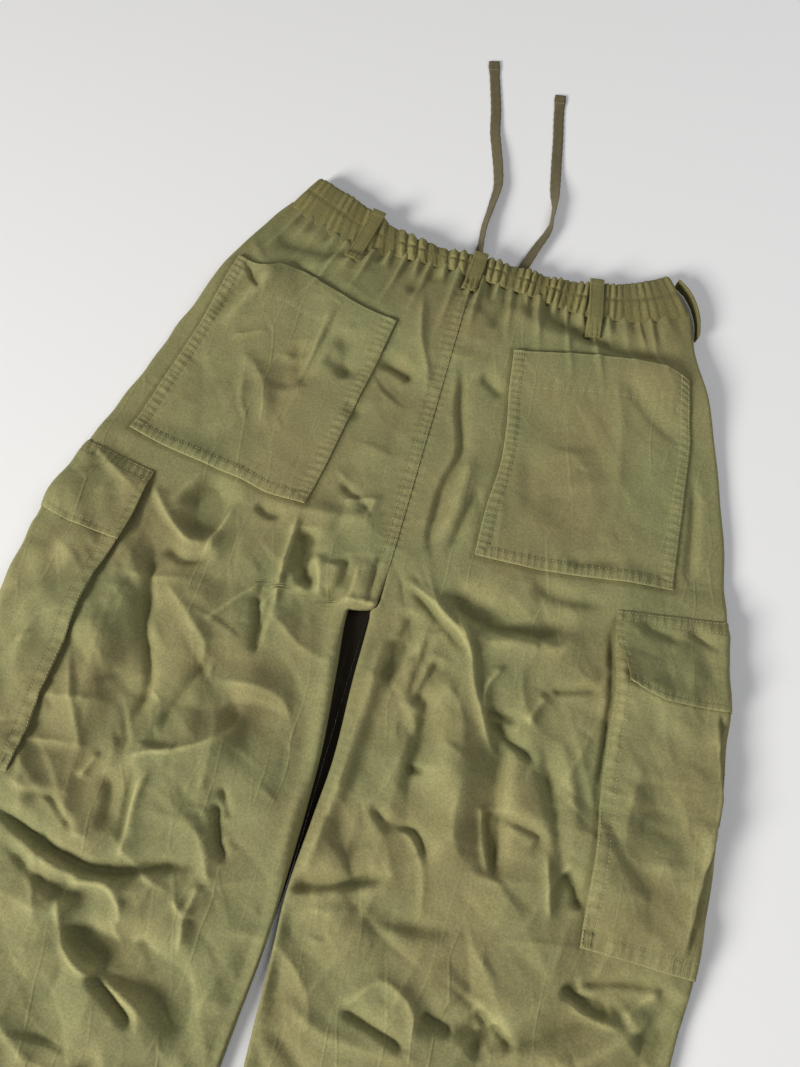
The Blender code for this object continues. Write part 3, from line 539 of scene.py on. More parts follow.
def makeRelief():
    # the relief of the whole back ply, its rubbed ridges, and painted shade in its hollows
    rng = np.random.default_rng(garment["seed"])
    target = np.zeros_like(planX)
    for height, width, skew, power, path in folds:
        addFold(target, path, foldScale["height"] * height, foldScale["width"] * width, skew,
                power)
    for height, width, skew, power, path in creases:
        addFold(target, path, foldScale["creaseHeight"] * height, width, skew, power, 0.2, 0.25)
    lowest, highest = foldScale["lowerFrom"]
    for height, width, skew, power, path in folds + creases:
        if lowest < np.mean([y for _, y in path]) < highest:
            lower = [(foldScale["lowerAcross"] * x, y - foldScale["lowerShift"])
                     for x, y in path]
            addFold(target, lower, foldScale["lowerHeight"] * height, width, -skew, power)
    onLeg = 1.0 - smoothStep(-10.0, 70.0, planY)
    lively = smoothStep(-0.9, 0.9, waves(planX, planY, 150.0, 3))
    soft = crumple["softHeight"] * waves(planX, planY, 85.0, 5)
    large = sum(share * facetLayer(*layer) for *layer, share in crumple["facets"])
    fine = facetLayer(*crumple["fine"])
    target += soft * (0.35 + 0.65 * onLeg)
    target += crumple["facetHeight"] * large * (0.5 + 0.5 * onLeg) * (0.35 + 0.65 * lively)
    target += crumple["fineHeight"] * fine * (0.4 + 0.6 * onLeg) * (0.1 + 0.9 * lively)
    strength = crumple["ridgeHeight"] * (0.28 + 0.72 * onLeg)
    for k, (size, height) in enumerate(crumple["ridges"]):
        there = smoothStep(-0.5, 0.9, waves(planX, planY, 130.0, 200 + k, 5))
        crease = np.abs(waves(planX, planY, size, 220 + k, 4))
        target += (-1.0 if k % 3 else 0.8) * strength * height * crease * there
    addCreases(target, rng)
    addGathers(target, rng)
    target = blurred(target, 0.6)
    crisp = target - blurred(target, 4.0)
    target += crumple["crispness"] * np.clip(crisp, -1.6, 1.6)
    # rubbed ridges paler; painted shade in small hollows and on the cloth below the waistband
    wear = crisp - 0.9 * smoothStep(285.0, 345.0, planY)
    return target, wear


reliefMap, wearAndShadeMap = makeRelief()
reportStage("relief of the cloth worked out")


def sampled(values, x, y):
    # a relief's value between its cells
    column = np.clip((x - reliefX[0]) / reliefCell, 0.0, len(reliefX) - 1.001)
    row = np.clip((y - reliefY[0]) / reliefCell, 0.0, len(reliefY) - 1.001)
    i = row.astype(int)
    j = column.astype(int)
    a = row - i
    b = column - j
    low = values[i, j] * (1.0 - b) + values[i, j + 1] * b
    high = values[i + 1, j] * (1.0 - b) + values[i + 1, j + 1] * b
    return low * (1.0 - a) + high * a


def backZ(side, x, y):
    # outer surface of the back ply
    x = np.asarray(x, float)
    y = np.asarray(y, float)
    inner, outer, _, crown = legShape(side, y)
    radius = garment["edgeRadius"]
    fromOuter = np.abs(outer - x)
    fromInner = np.abs(x - inner)
    across = np.clip(fromInner / np.abs(outer - inner), 0.0, 1.0)
    leg = 1.0 - smoothStep(-14.0, 45.0, y)
    hip = 0.4 * (1.0 - leg)
    arch = crown * np.maximum(0.0, np.sin(math.pi * (hip + across * (1.0 - hip))))
    waist = smoothStep(250.0, 350.0, y)
    top = 2.0 * radius + arch + garment["cargoStack"] * cargoZone(side, x, y)
    top = top + waist * (garment["waistHeight"] - 2.0 * radius - arch)
    relief = sampled(reliefMap, x, y) * smoothStep(0.0, 26.0, fromOuter)
    apart = 1.0 - smoothStep(-46.0, -6.0, y)
    relief = relief * (1.0 - apart * (1.0 - smoothStep(0.0, 12.0, fromInner)))
    height, *where = garment["seatBulge"]
    top = top + height * bell(y, *where)
    height, *where = garment["inseamRoll"]
    top = top + height * apart * bell(fromInner, *where) * smoothStep(-260, -200, y)
    top = np.maximum(top + relief, garment["lowest"])
    edge = radius + 0.7 + garment["cargoStack"] * cargoZone(side, outer, y)
    z = edge + (top - edge) * quarterRound(fromOuter / radius)
    roll = leg * (1.0 - quarterRound(fromInner / garment["inseamRadius"]))
    return z + (garment["inseamHeight"] - z) * roll


def frontZ(side, x, y):
    # outer surface, which is the underside, of the front ply
    outer = legShape(side, y)[1]
    stack = garment["cargoStack"]
    radius = garment["edgeRadius"]
    edge = radius - 0.7 + stack * cargoZone(side, outer, y)
    z = stack * cargoZone(side, x, y) + 1.9 * smoothStep(250.0, 295.0, y)
    return z + (edge - z) * (1.0 - quarterRound(np.abs(outer - x) / radius))


def meshFrom(bm, name):
    mesh = bpy.data.meshes.new(name)
    bm.to_mesh(mesh)
    bm.free()
    return mesh


def finishMesh(mesh, name, material, wear=None):
    mesh.shade_smooth()
    mesh.materials.append(material)
    if wear is not None:
        layer = mesh.attributes.new("wear", "FLOAT", "POINT")
        layer.data.foreach_set("value", wear.astype(np.float32).ravel())
    piece = bpy.data.objects.new(name, mesh)
    bpy.context.scene.collection.objects.link(piece)
    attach(piece, "root")
    return piece


def standsFor(node):
    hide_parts(node)


def toFrame(points):
    # millimetres from the crotch into metres of the frame, never below the surface
    moved = np.array(points, float).reshape(-1, 3)
    moved[:, 0] += crotchX
    moved[:, 1] += crotchY
    moved[:, 2] = np.maximum(moved[:, 2], 0.05)
    return moved * mm


def clothSheet(name, points, material, wear, wall=garment["clothWall"], down=False):
    # a grid of cloth through points[row, column], thickened away from its outer surface; its
    # "Cut" map holds real distances over the cloth
    rows, columns = points.shape[:2]
    bm = bmesh.new()
    bm.loops.layers.uv.new("Cut")
    bmesh.ops.create_grid(bm, x_segments=columns - 1, y_segments=rows - 1, size=0.5,
                          calc_uvs=True)
    mesh = meshFrom(bm, name)
    place = np.empty(rows * columns * 3, np.float32)
    mesh.vertices.foreach_get("co", place)
    place = place.reshape(-1, 3)
    column = np.rint((place[:, 0] + 0.5) * (columns - 1)).astype(int)
    row = np.rint((place[:, 1] + 0.5) * (rows - 1)).astype(int)
    mesh.vertices.foreach_set("co", toFrame(points[row, column]).astype(np.float32).ravel())
    mesh.update()
    across = np.zeros((rows, columns))
    lengthwise = np.zeros((rows, columns))
    across[:, 1:] = np.cumsum(np.linalg.norm(np.diff(points, axis=1), axis=2), axis=1)
    lengthwise[1:] = np.cumsum(np.linalg.norm(np.diff(points, axis=0), axis=2), axis=0)
    across = across - across[:, columns // 2][:, None]
    corner = np.empty(len(mesh.loops), np.int32)
    mesh.loops.foreach_get("vertex_index", corner)
    cut = np.stack((across[row, column], -lengthwise[row, column]), -1)[corner] * mm
    mesh.uv_layers[0].data.foreach_set("uv", cut.astype(np.float32).ravel())
    if (mesh.polygons[len(mesh.polygons) // 2].normal.z < 0.0) != down:
        mesh.flip_normals()
    piece = finishMesh(mesh, name, material, wear[row, column])
    if wall > 0.0:
        shell = piece.modifiers.new("Wall", "SOLIDIFY")
        shell.thickness = wall * mm
        shell.offset = -1.0
    return piece


def spacing(length, step, edge=(), farEdge=()):
    # positions from 0 to length: close together at the edges, step apart between them
    near = [e for e in edge if e < 0.4 * length]
    far = [length - e for e in reversed(farEdge) if e < 0.4 * length]
    start = near[-1] if near else 0.0
    stop = far[0] if far else length
    count = max(1, int(round((stop - start) / step)))
    middle = np.linspace(start, stop, count + 1)
    return np.concatenate((near[:-1], middle, far[1:]))


roundedEdge = (0.0, 0.35, 1.0, 2.0, 3.4, 5.0)     # close columns at a panel's edges, in mm


panel = {
    "top": 350.0,            # y of the highest row before it bends to the waistband
    "fineTo": -400.0,        # rows lie close together down to here
    "hemRows": (-690.0, -692.0, -693.5, -695.0, -700.0, -706.0, -711.0, -715.0),
    "coarseStep": 8.0,
    "frontStep": 6.0,
    "backUnder": 5.0,        # how far each ply reaches up under its waistband
    "frontUnder": 1.0,
    "bend": 80.0,            # the rows in this height below the top bend to the waistband
    "width": 320.0,          # of a leg, for the spacing of its columns
}


def panelPoints(side, fromBack):
    # rows from the waistband down to the hem, with columns from the inner to the outer edge
    sign = sideSign[side]
    step = garment["meshStep"] if fromBack else panel["frontStep"]
    top = panel["top"]
    levels = np.concatenate((
        np.arange(top, panel["fineTo"], -step),
        np.arange(panel["fineTo"], panel["hemRows"][0], -panel["coarseStep"]), panel["hemRows"]))
    table = backBand if fromBack else frontBand
    under = panel["backUnder" if fromBack else "frontUnder"]
    columns = spacing(panel["width"], step, roundedEdge, roundedEdge) / panel["width"]
    rounded = len(roundedEdge)
    share = smoothStep(0.0, 1.0, (levels - top + panel["bend"]) / panel["bend"])[:, None]
    y = np.repeat(levels[:, None], len(columns), axis=1)
    for _ in range(4):
        shape = legShape(side, y)
        inner = (shape[0] if fromBack else shape[2]) + sign * seamGap
        outer = shape[1]
        x = inner + (outer - inner) * columns[None, :]
        for k, gap in enumerate(roundedEdge):
            x[:, k] = inner[:, k] + sign * gap
            x[:, -1 - k] = outer[:, -1 - k] - sign * gap
        span = (x[:, -rounded] - x[:, rounded - 1])[:, None]
        inside = (columns[rounded - 1:-rounded + 1] - columns[rounded - 1])
        inside = inside / inside[-1]
        x[:, rounded - 1:len(columns) - rounded + 1] = x[:, rounded - 1][:, None] + span * inside
        y = levels[:, None] + share * (bandLow(x, table) + under - top)
    z = backZ(side, x, y) if fromBack else frontZ(side, x, y)
    return np.stack((x, y, z), -1)


hem = {"stitchY": -691.5, "rise": 0.7}


def hemShape(y):
    # the double fold of the hem: a raised band that ends just above its stitch line
    return hem["rise"] * (1.0 - smoothStep(hem["stitchY"] - 1.0, hem["stitchY"] + 1.5, y))


def hemTurn(points):
    # the hem's cloth turned under, back up to its stitch line
    turned = []
    for rise, drop in ((-0.3, 0.5), (0.4, 1.2), (2.0, 1.6), (10.0, 1.6), (23.0, 1.6)):
        row = points[-1].copy()
        row[:, 1] += rise
        row[:, 2] = np.maximum(row[:, 2] - drop, 1.3)
        turned.append(row)
    return np.array(turned)


def seamPucker(walk, pitch, seed, distance=0.0, at=0.0, width=1.0):
    # uneven ripples along a seam, which die away from it
    rng = np.random.default_rng(seed)
    phase = rng.uniform(0.0, 6.28)
    ripple = np.sin(2.0 * math.pi * (walk / pitch) + 1.6 * waves(walk, 0.0 * walk, 31.0, seed, 4)
                    + phase)
    return ripple * bell(distance, at, width)


def sinkRow(z, wear, distance, at, depth, shade, width, there=1.0):
    # the groove that a stitch row draws into the cloth, with painted shade along it
    z -= depth * bell(distance, at, width) * there
    wear -= shade * bell(distance, at, width + 0.2) * there


def indexAt(positions, value):
    # a place among rising positions, as a float of their index
    return float(np.interp(value, positions, np.arange(len(positions))))


def halfSteps(count, low=-1.0, high=math.inf):
    # every half step over a sheet's rows or columns, between two of them
    steps = np.arange(0.0, count - 1, 0.5)
    return steps[(steps > low) & (steps < high)]


def colour(code):
    # an sRGB hex colour as the linear values that a shader takes
    values = [int(code[k:k + 2], 16) / 255.0 for k in (0, 2, 4)]
    linear = [v / 12.92 if v <= 0.04045 else ((v + 0.055) / 1.055) ** 2.4 for v in values]
    return (*linear, 1.0)


def fill(tree, node, inputs):
    # sets an input to its value, or links it where the value is another node's output
    for key, value in inputs.items():
        if isinstance(value, bpy.types.NodeSocket):
            tree.links.new(value, node.inputs[key])
        else:
            node.inputs[key].default_value = value


def addNode(tree, kind, output, inputs=None, **settings):
    # adds a node with its settings and inputs, and returns one of its outputs
    node = tree.nodes.new("ShaderNode" + kind)
    for key, value in settings.items():
        setattr(node, key, value)
    fill(tree, node, inputs or {})
    return node.outputs[output]


def newMaterial(name):
    material = bpy.data.materials.new(name)
    material.use_nodes = True
    return material, material.node_tree, material.node_tree.nodes["Principled BSDF"]


def perMm(size):
    # scale of a noise or cell pattern whose features lie size millimetres apart
    return 1.0 / (size * mm)


def ribScale(pitch):
    # scale of a wave pattern whose ribs lie pitch millimetres apart
    return 2.0 * math.pi / (20.0 * pitch * mm)


# Cotton twill, dyed olive and washed many times: matt, with a short fuzz that catches light at
# low angles, paler on rubbed ridges, with painted shade in its hollows and beside its seams.
twillColours = {
    # the cloth, its rubbed ridges, its painted shade in hollows, and the two hues of its patches
    "cloth": ("827d56", "aca672", "5c5a34", "7f8356", "877e53"),
    # painted shade: the band's colours are darker than the cloth's, though it is the same cloth
    "band": ("756f45", "928b59", "4a4527", "6f6c45", "70683d"),
    # the inside: its near-black hollow colour is painted shade for the fork
    "lining": ("6d6743", "7a744c", "1a1408", "67653f", "6b6240"),
    "fuzz": "c9c49a",
}
twillFinish = {
    "roughness": 0.86,
    "specular": 0.22,
    "fuzzShare": 0.12,
    "lineShare": 0.1,        # paler lines left by folding
    # sizes in mm
    "patches": 90.91,
    "fading": 23.81,
    "yarn": 1.923,           # uneven yarn, as speckles
    "ribs": 2.5,             # real ribs lie about 0.7 mm apart, which is too fine to show
    "rough": 8.333,
    "dents": 21.74,
    "ribTurn": 52.0,         # slope of the ribs in degrees
}


def creaseLines(tree, place, size, turn, patch):
    # fine straight lines about size mm apart, which show in patches of patch mm
    warp = addNode(tree, "TexNoise", "Color",
                   {"Scale": perMm(62.5), "Detail": 1.0, "Vector": place})
    bent = addNode(tree, "VectorMath", 0, {0: warp, 1: (0.016, 0.016, 0.0), 2: place},
                   operation="MULTIPLY_ADD")
    turned = addNode(tree, "Mapping", "Vector", {
        "Rotation": (0.0, 0.0, turn), "Scale": (1.0, 0.26, 1.0), "Vector": bent})
    cells = addNode(tree, "TexVoronoi", "Distance", {"Scale": perMm(size), "Vector": turned},
                    feature="DISTANCE_TO_EDGE", voronoi_dimensions="2D")
    line = addNode(tree, "MapRange", "Result", {
        "From Min": 0.0, "From Max": 1.7 / size, "To Min": 1.0, "To Max": 0.0, "Value": cells},
        interpolation_type="SMOOTHSTEP")
    where = addNode(tree, "TexNoise", "Fac",
                    {"Scale": perMm(patch), "Detail": 2.0, "Vector": turned})
    there = addNode(tree, "MapRange", "Result",
                    {"From Min": 0.53, "From Max": 0.68, "Value": where})
    return addNode(tree, "Math", 0, {0: line, 1: there}, operation="MULTIPLY")


def twill(name, colours, deepShare=0.5):
    base, worn, deep, green, brown = [colour(code) for code in colours]
    finish = twillFinish
    material, tree, shader = newMaterial(name)
    place = addNode(tree, "TexCoord", "Object")
    wear = addNode(tree, "Attribute", "Fac", attribute_name="wear")
    patches = addNode(tree, "TexNoise", "Fac",
                      {"Scale": perMm(finish["patches"]), "Detail": 3.0, "Vector": place})
    patches = addNode(tree, "MapRange", "Result",
                      {"From Min": 0.4, "From Max": 0.62, "Value": patches})
    toned = addNode(tree, "Mix", 2, {0: patches, 6: green, 7: brown}, data_type="RGBA")
    toned = addNode(tree, "Mix", 2, {0: 0.5, 6: base, 7: toned}, data_type="RGBA")
    # rubbed ridges and painted shade in the hollows of the cloth, blurred by uneven fading
    fade = addNode(tree, "TexNoise", "Fac", {
        "Scale": perMm(finish["fading"]), "Detail": 4.0, "Roughness": 0.6, "Vector": place})
    uneven = addNode(tree, "Math", 0, {0: fade, 1: 0.9, 2: -0.45}, operation="MULTIPLY_ADD")
    high = addNode(tree, "Math", 0, {0: wear, 1: uneven}, operation="ADD")
    ridge = addNode(tree, "MapRange", "Result",
                    {"From Min": 0.05, "From Max": 1.2, "To Max": 0.55, "Value": high})
    # painted shade: the hollows take the dark colour
    valley = addNode(tree, "MapRange", "Result",
                     {"From Min": -0.1, "From Max": -1.3, "To Max": deepShare, "Value": high})
    lines = addNode(tree, "Math", 0, {0: creaseLines(tree, place, 30.0, 0.4, 66.67),
                                      1: creaseLines(tree, place, 19.0, 2.2, 50.0)},
                    operation="ADD")
    share = addNode(tree, "Math", 0, {0: lines, 1: finish["lineShare"]}, operation="MULTIPLY")
    for amount, tint in ((ridge, worn), (valley, deep), (share, worn)):
        toned = addNode(tree, "Mix", 2, {0: amount, 6: toned, 7: tint}, data_type="RGBA")
    yarn = addNode(tree, "TexNoise", "Fac",
                   {"Scale": perMm(finish["yarn"]), "Detail": 3.0, "Vector": place})
    speckle = addNode(tree, "MapRange", "Result", {
        "From Min": 0.3, "From Max": 0.7, "To Min": 0.85, "To Max": 1.15, "Value": yarn})
    grain = addNode(tree, "VectorMath", 0, {0: toned, 1: speckle}, operation="MULTIPLY")
    ribPlace = addNode(tree, "Mapping", "Vector", {
        "Rotation": (0.0, 0.0, math.radians(finish["ribTurn"])), "Vector": place})
    ribs = addNode(tree, "TexWave", "Fac", {
        "Scale": ribScale(finish["ribs"]), "Distortion": 1.2, "Detail": 2.0,
        "Detail Scale": 2.0, "Vector": ribPlace})
    rough = addNode(tree, "TexNoise", "Fac", {
        "Scale": perMm(finish["rough"]), "Detail": 5.0, "Roughness": 0.6, "Vector": place})
    dents = addNode(tree, "TexVoronoi", "Distance", {
        "Scale": perMm(finish["dents"]), "Randomness": 1.0, "Vector": place}, feature="F1")
    bump = addNode(tree, "Bump", "Normal",
                   {"Strength": 0.35, "Distance": 0.12 * mm, "Height": ribs})
    for height, strength, depth in ((rough, 0.5, 0.9), (dents, 0.35, 1.6), (lines, 0.5, 0.6)):
        bump = addNode(tree, "Bump", "Normal", {
            "Strength": strength, "Distance": depth * mm, "Height": height, "Normal": bump})
    fill(tree, shader, {
        "Base Color": grain, "Roughness": finish["roughness"],
        "Specular IOR Level": finish["specular"], "Sheen Weight": finish["fuzzShare"],
        "Sheen Roughness": 0.5, "Sheen Tint": colour(twillColours["fuzz"]), "Normal": bump})
    return material


clothTwill = twill("Olive twill, washed cotton", twillColours["cloth"])
# the band and belt loops: the same cloth, painted darker as shade
bandTwill = twill("Olive twill band, gathered, painted darker as shade", twillColours["band"])
# the inside, unfaded, with painted shade at full strength in its hollows
liningTwill = twill("Olive twill inside, unfaded, with painted shade", twillColours["lining"], 1.0)


def woven(name, base, deep):
    # flat cotton tape, woven plain: matt, with ribs across it that are dark between
    material, tree, shader = newMaterial(name)
    cutMap = addNode(tree, "UVMap", "UV", uv_map="Cut")
    ribs = addNode(tree, "TexWave", "Fac", {
        "Scale": ribScale(1.2083), "Distortion": 1.5, "Detail": 1.0, "Vector": cutMap},
        bands_direction="Y")
    slub = addNode(tree, "TexNoise", "Fac", {
        "Scale": perMm(4.1667), "Detail": 3.0, "Vector": addNode(tree, "TexCoord", "Object")})
    shade = addNode(tree, "Math", 0, {0: ribs, 1: slub}, operation="MULTIPLY")
    toned = addNode(tree, "Mix", 2, {0: shade, 6: colour(deep), 7: colour(base)},
                    data_type="RGBA")
    bump = addNode(tree, "Bump", "Normal",
                   {"Strength": 0.6, "Distance": 0.3 * mm, "Height": ribs})
    fill(tree, shader, {"Base Color": toned, "Roughness": 0.9, "Sheen Weight": 0.1,
                        "Normal": bump})
    return material


def plainFinish(name, base, roughness):
    # one even colour with a weak shine: spun thread, or a surface under matt paint
    material, tree, shader = newMaterial(name)
    fill(tree, shader, {"Base Color": colour(base), "Roughness": roughness,
                        "Specular IOR Level": 0.2})
    return material


tapeCotton = woven("Woven cotton tape", "857b52", "4b4329")
# spun cotton thread: matt, and paler than the cloth that it holds
threadCotton = plainFinish("Cotton sewing thread, khaki", "b1aa7d", 0.8)
bandThread = plainFinish("Cotton sewing thread, dark", "858052", 0.8)


stitching = {"pitch": 3.1, "length": 2.3, "thickness": 0.6}


def stitchRow(bm, path, seed, pitch, length, thickness):
    # one thread after another along a walk of points on the cloth
    rng = np.random.default_rng(seed)
    steps = np.linalg.norm(np.diff(path, axis=0), axis=1)
    along = np.concatenate(([0.0], np.cumsum(steps)))
    size = Matrix.Diagonal((0.5 * length * mm, 0.5 * thickness * mm, 0.42 * thickness * mm, 1.0))
    for stop in np.arange(0.5 * pitch, along[-1] - 0.4 * pitch, pitch):
        behind, here, ahead = [Vector([np.interp(at, along, path[:, k]) for k in range(3)])
                               for at in (stop - 1.0, stop, stop + 1.0)]
        run = (ahead - behind).normalized()
        aside = run.cross(Vector((0.0, 0.0, 1.0)))
        aside = aside.normalized() if aside.length > 0.01 else Vector((1.0, 0.0, 0.0))
        turn = Matrix((run, aside, aside.cross(run))).transposed().to_4x4()
        here.x += rng.normal(0.0, 0.06)
        place = Matrix.Translation(toFrame([here])[0])
        bmesh.ops.create_icosphere(bm, subdivisions=1, radius=1.0, matrix=place @ turn @ size)


def sewn(name, rows, material, **sizes):
    bm = bmesh.new()
    for k, row in enumerate(rows):
        stitchRow(bm, row, k, **{**stitching, **sizes})
    return finishMesh(meshFrom(bm, name), name, material)


def tacked(name, points, rowSpan, columns, **sizes):
    # short rows of dense stitches that fasten a corner
    rows = [walkOn(points, np.linspace(*rowSpan, 6), column) for column in columns]
    return sewn(name, rows, threadCotton, **sizes)


def walkOn(points, rowShare, columnShare, lift=0.12):
    # a walk over a sheet's own grid: shares of its rows and columns, as floats of an index
    rows, columns = points.shape[:2]
    i = np.clip(np.asarray(rowShare, float), 0, rows - 1.001)
    j = np.clip(np.asarray(columnShare, float), 0, columns - 1.001)
    i, j = np.broadcast_arrays(i, j)
    low = i.astype(int)
    left = j.astype(int)
    a = (i - low)[:, None]
    b = (j - left)[:, None]
    near = points[low, left] * (1 - b) + points[low, left + 1] * b
    far = points[low + 1, left] * (1 - b) + points[low + 1, left + 1] * b
    found = near * (1 - a) + far * a
    found[:, 2] += lift
    return found


def wearAndShadeAt(points):
    return sampled(wearAndShadeMap, points[..., 0], points[..., 1])


seam = {"stripLeft": -11.0, "rowLeft": -9.5, "rowRight": -1.8, "raised": 0.7}


def centreSeam(points, wear):
    # the felled centre seam: a raised, puckered strip on the left side of the middle
    x, y, z = np.moveaxis(points, -1, 0)
    seat = smoothStep(30.0, 50.0, y)
    inside = smoothStep(seam["stripLeft"] - 0.8, seam["stripLeft"] + 0.6, x) * seat
    ripple = 0.45 * seamPucker(y, 7.5, 5, x, -5.5, 9.0)
    rows = (bell(x, seam["rowLeft"], 1.1) + bell(x, seam["rowRight"], 1.1)) * seat
    z += inside * seam["raised"] + ripple * smoothStep(30, 60, y) - 0.4 * rows
    # painted shadow line beside the strip's left edge
    wear -= 0.9 * bell(x, seam["stripLeft"] - 0.6, 1.4) * seat
    wear += 0.5 * inside * ripple - 0.6 * rows


def buildBackPanel(side):
    points = panelPoints(side, True)
    wear = wearAndShadeAt(points)
    x, y, z = np.moveaxis(points, -1, 0)
    if side == "left":
        centreSeam(points, wear)
    else:
        z += 0.3 * seamPucker(y, 7.5, 5, x, 0.0, 7.0) * smoothStep(30.0, 60.0, y)
        # painted shadow where the left side's seam lies over this one
        wear -= 1.2 * bell(x, 0.0, 1.6) * smoothStep(30, 50, y)
    # the puckered inseam along the inner leg
    fromInner = np.abs(x - legShape(side, y)[0])
    pucker = (1.0 - smoothStep(-30.0, 0.0, y)) * seamPucker(y, 8.0, 9, fromInner, 6.0, 6.0)
    z += 0.16 * pucker
    wear += 0.1 * pucker
    rise = hemShape(y)
    z += rise
    # painted shade along the hem's stitch line; the raised hem fold is paler where rubbed
    wear -= bell(y, hem["stitchY"], 1.6)
    wear += 0.5 * (rise > 0.3)
    turned = hemTurn(points)
    wear = np.concatenate((wear, wear[-len(turned):]))
    points = np.concatenate((points, turned))
    # the cloth is closed at the hem by its turn, so it has no wall
    piece = clothSheet(f"backPanel{side.capitalize()}", points, clothTwill, wear, 0.0)
    standsFor(f"back_{side}")
    return piece


def buildFrontPanel(side):
    points = panelPoints(side, False)
    x, y, z = np.moveaxis(points, -1, 0)
    clear = smoothStep(10.0, 30.0, np.abs(legShape(side, y)[1] - x))
    z += np.maximum(0.0, 0.35 * waves(x, y, 60.0, 13) + 0.35) * clear
    # painted shade: darkest where the fork opens onto it, in the shadowed gap between the legs
    piece = clothSheet(f"frontPanel{side.capitalize()}", points, liningTwill,
                       -4.0 * bell(x, 0.0, 45.0), down=True)
    standsFor(f"front_{side}")
    return piece


def buildPanels():
    made = {}
    for side in sideSign:
        made[f"backPanel{side.capitalize()}"] = buildBackPanel(side)
        made[f"frontPanel{side.capitalize()}"] = buildFrontPanel(side)
    return made


pocketEdges = {
    # plan points of each edge, and x, y, height and reach of the gape of the mouth
    "left": {
        "top": ((-229, 303), (-211, 298), (-196, 297), (-185, 303), (-166, 305), (-139, 297),
                (-115, 288), (-92, 281), (-60, 277)),
        "bottom": ((-269, 103), (-230, 93), (-190, 87), (-155, 83), (-125, 76), (-90, 75)),
        "left": ((-231, 306), (-243, 235), (-257, 165), (-269, 103)),
        "right": ((-60, 277), (-66, 235), (-75, 175), (-82, 120), (-90, 75)),
        "mouth": (-190, 298, 4.5, 20)},
    "right": {
        "top": ((57, 279), (100, 288), (140, 298), (175, 303), (200, 302), (227, 295)),
        "bottom": ((70, 71), (110, 72), (150, 76), (190, 82), (249, 89)),
        "left": ((57, 279), (62, 240), (69, 200), (72, 165), (69, 110), (70, 71)),
        "right": ((227, 295), (234, 262), (241, 230), (244, 180), (247, 130), (249, 89)),
        "mouth": (204, 300, 4.5, 24)},
}
pocketMake = {
    "lift": 1.5,             # above the panel
    "rowOne": 2.0,           # stitch rows from the edge
    "rowTwo": 10.0,
    "bandRise": 0.7,         # fold of cloth inside the stitched edge
    "hemDepth": 36.0,        # stitch line of the mouth's hem
    "hemRise": 0.6,
    "pucker": 0.5,
    "step": 1.9,
    # close rows at an edge, in mm from it
    "rim": (0.0, 0.5, 1.2, 2.0, 2.9, 4.2, 5.8, 7.4, 9.0, 10.0, 11.0, 12.3, 14.0),
}


def pocketPoints(edges):
    # a grid of plan points between the four edges, and how far its columns and rows lie along
    length, height = [np.hypot(*np.diff(np.array(edges[edge], float), axis=0).T).sum()
                      for edge in ("top", "left")]
    acrossMm = spacing(length, pocketMake["step"], pocketMake["rim"], pocketMake["rim"])
    downMm = spacing(height, pocketMake["step"], pocketMake["rim"], pocketMake["rim"])
    u = acrossMm / length
    v = downMm / height
    topLine, bottomLine = [curvePoints(edges[edge], u) for edge in ("top", "bottom")]
    leftLine, rightLine = [curvePoints(edges[edge], v) for edge in ("left", "right")]
    u = u[None, :, None]
    v = v[:, None, None]
    corners = ((1 - u) * (1 - v) * topLine[0] + u * (1 - v) * topLine[-1]
               + (1 - u) * v * bottomLine[0] + u * v * bottomLine[-1])
    plan = ((1 - v) * topLine[None] + v * bottomLine[None]
            + (1 - u) * leftLine[:, None] + u * rightLine[:, None] - corners)
    return plan, acrossMm, downMm, length, height


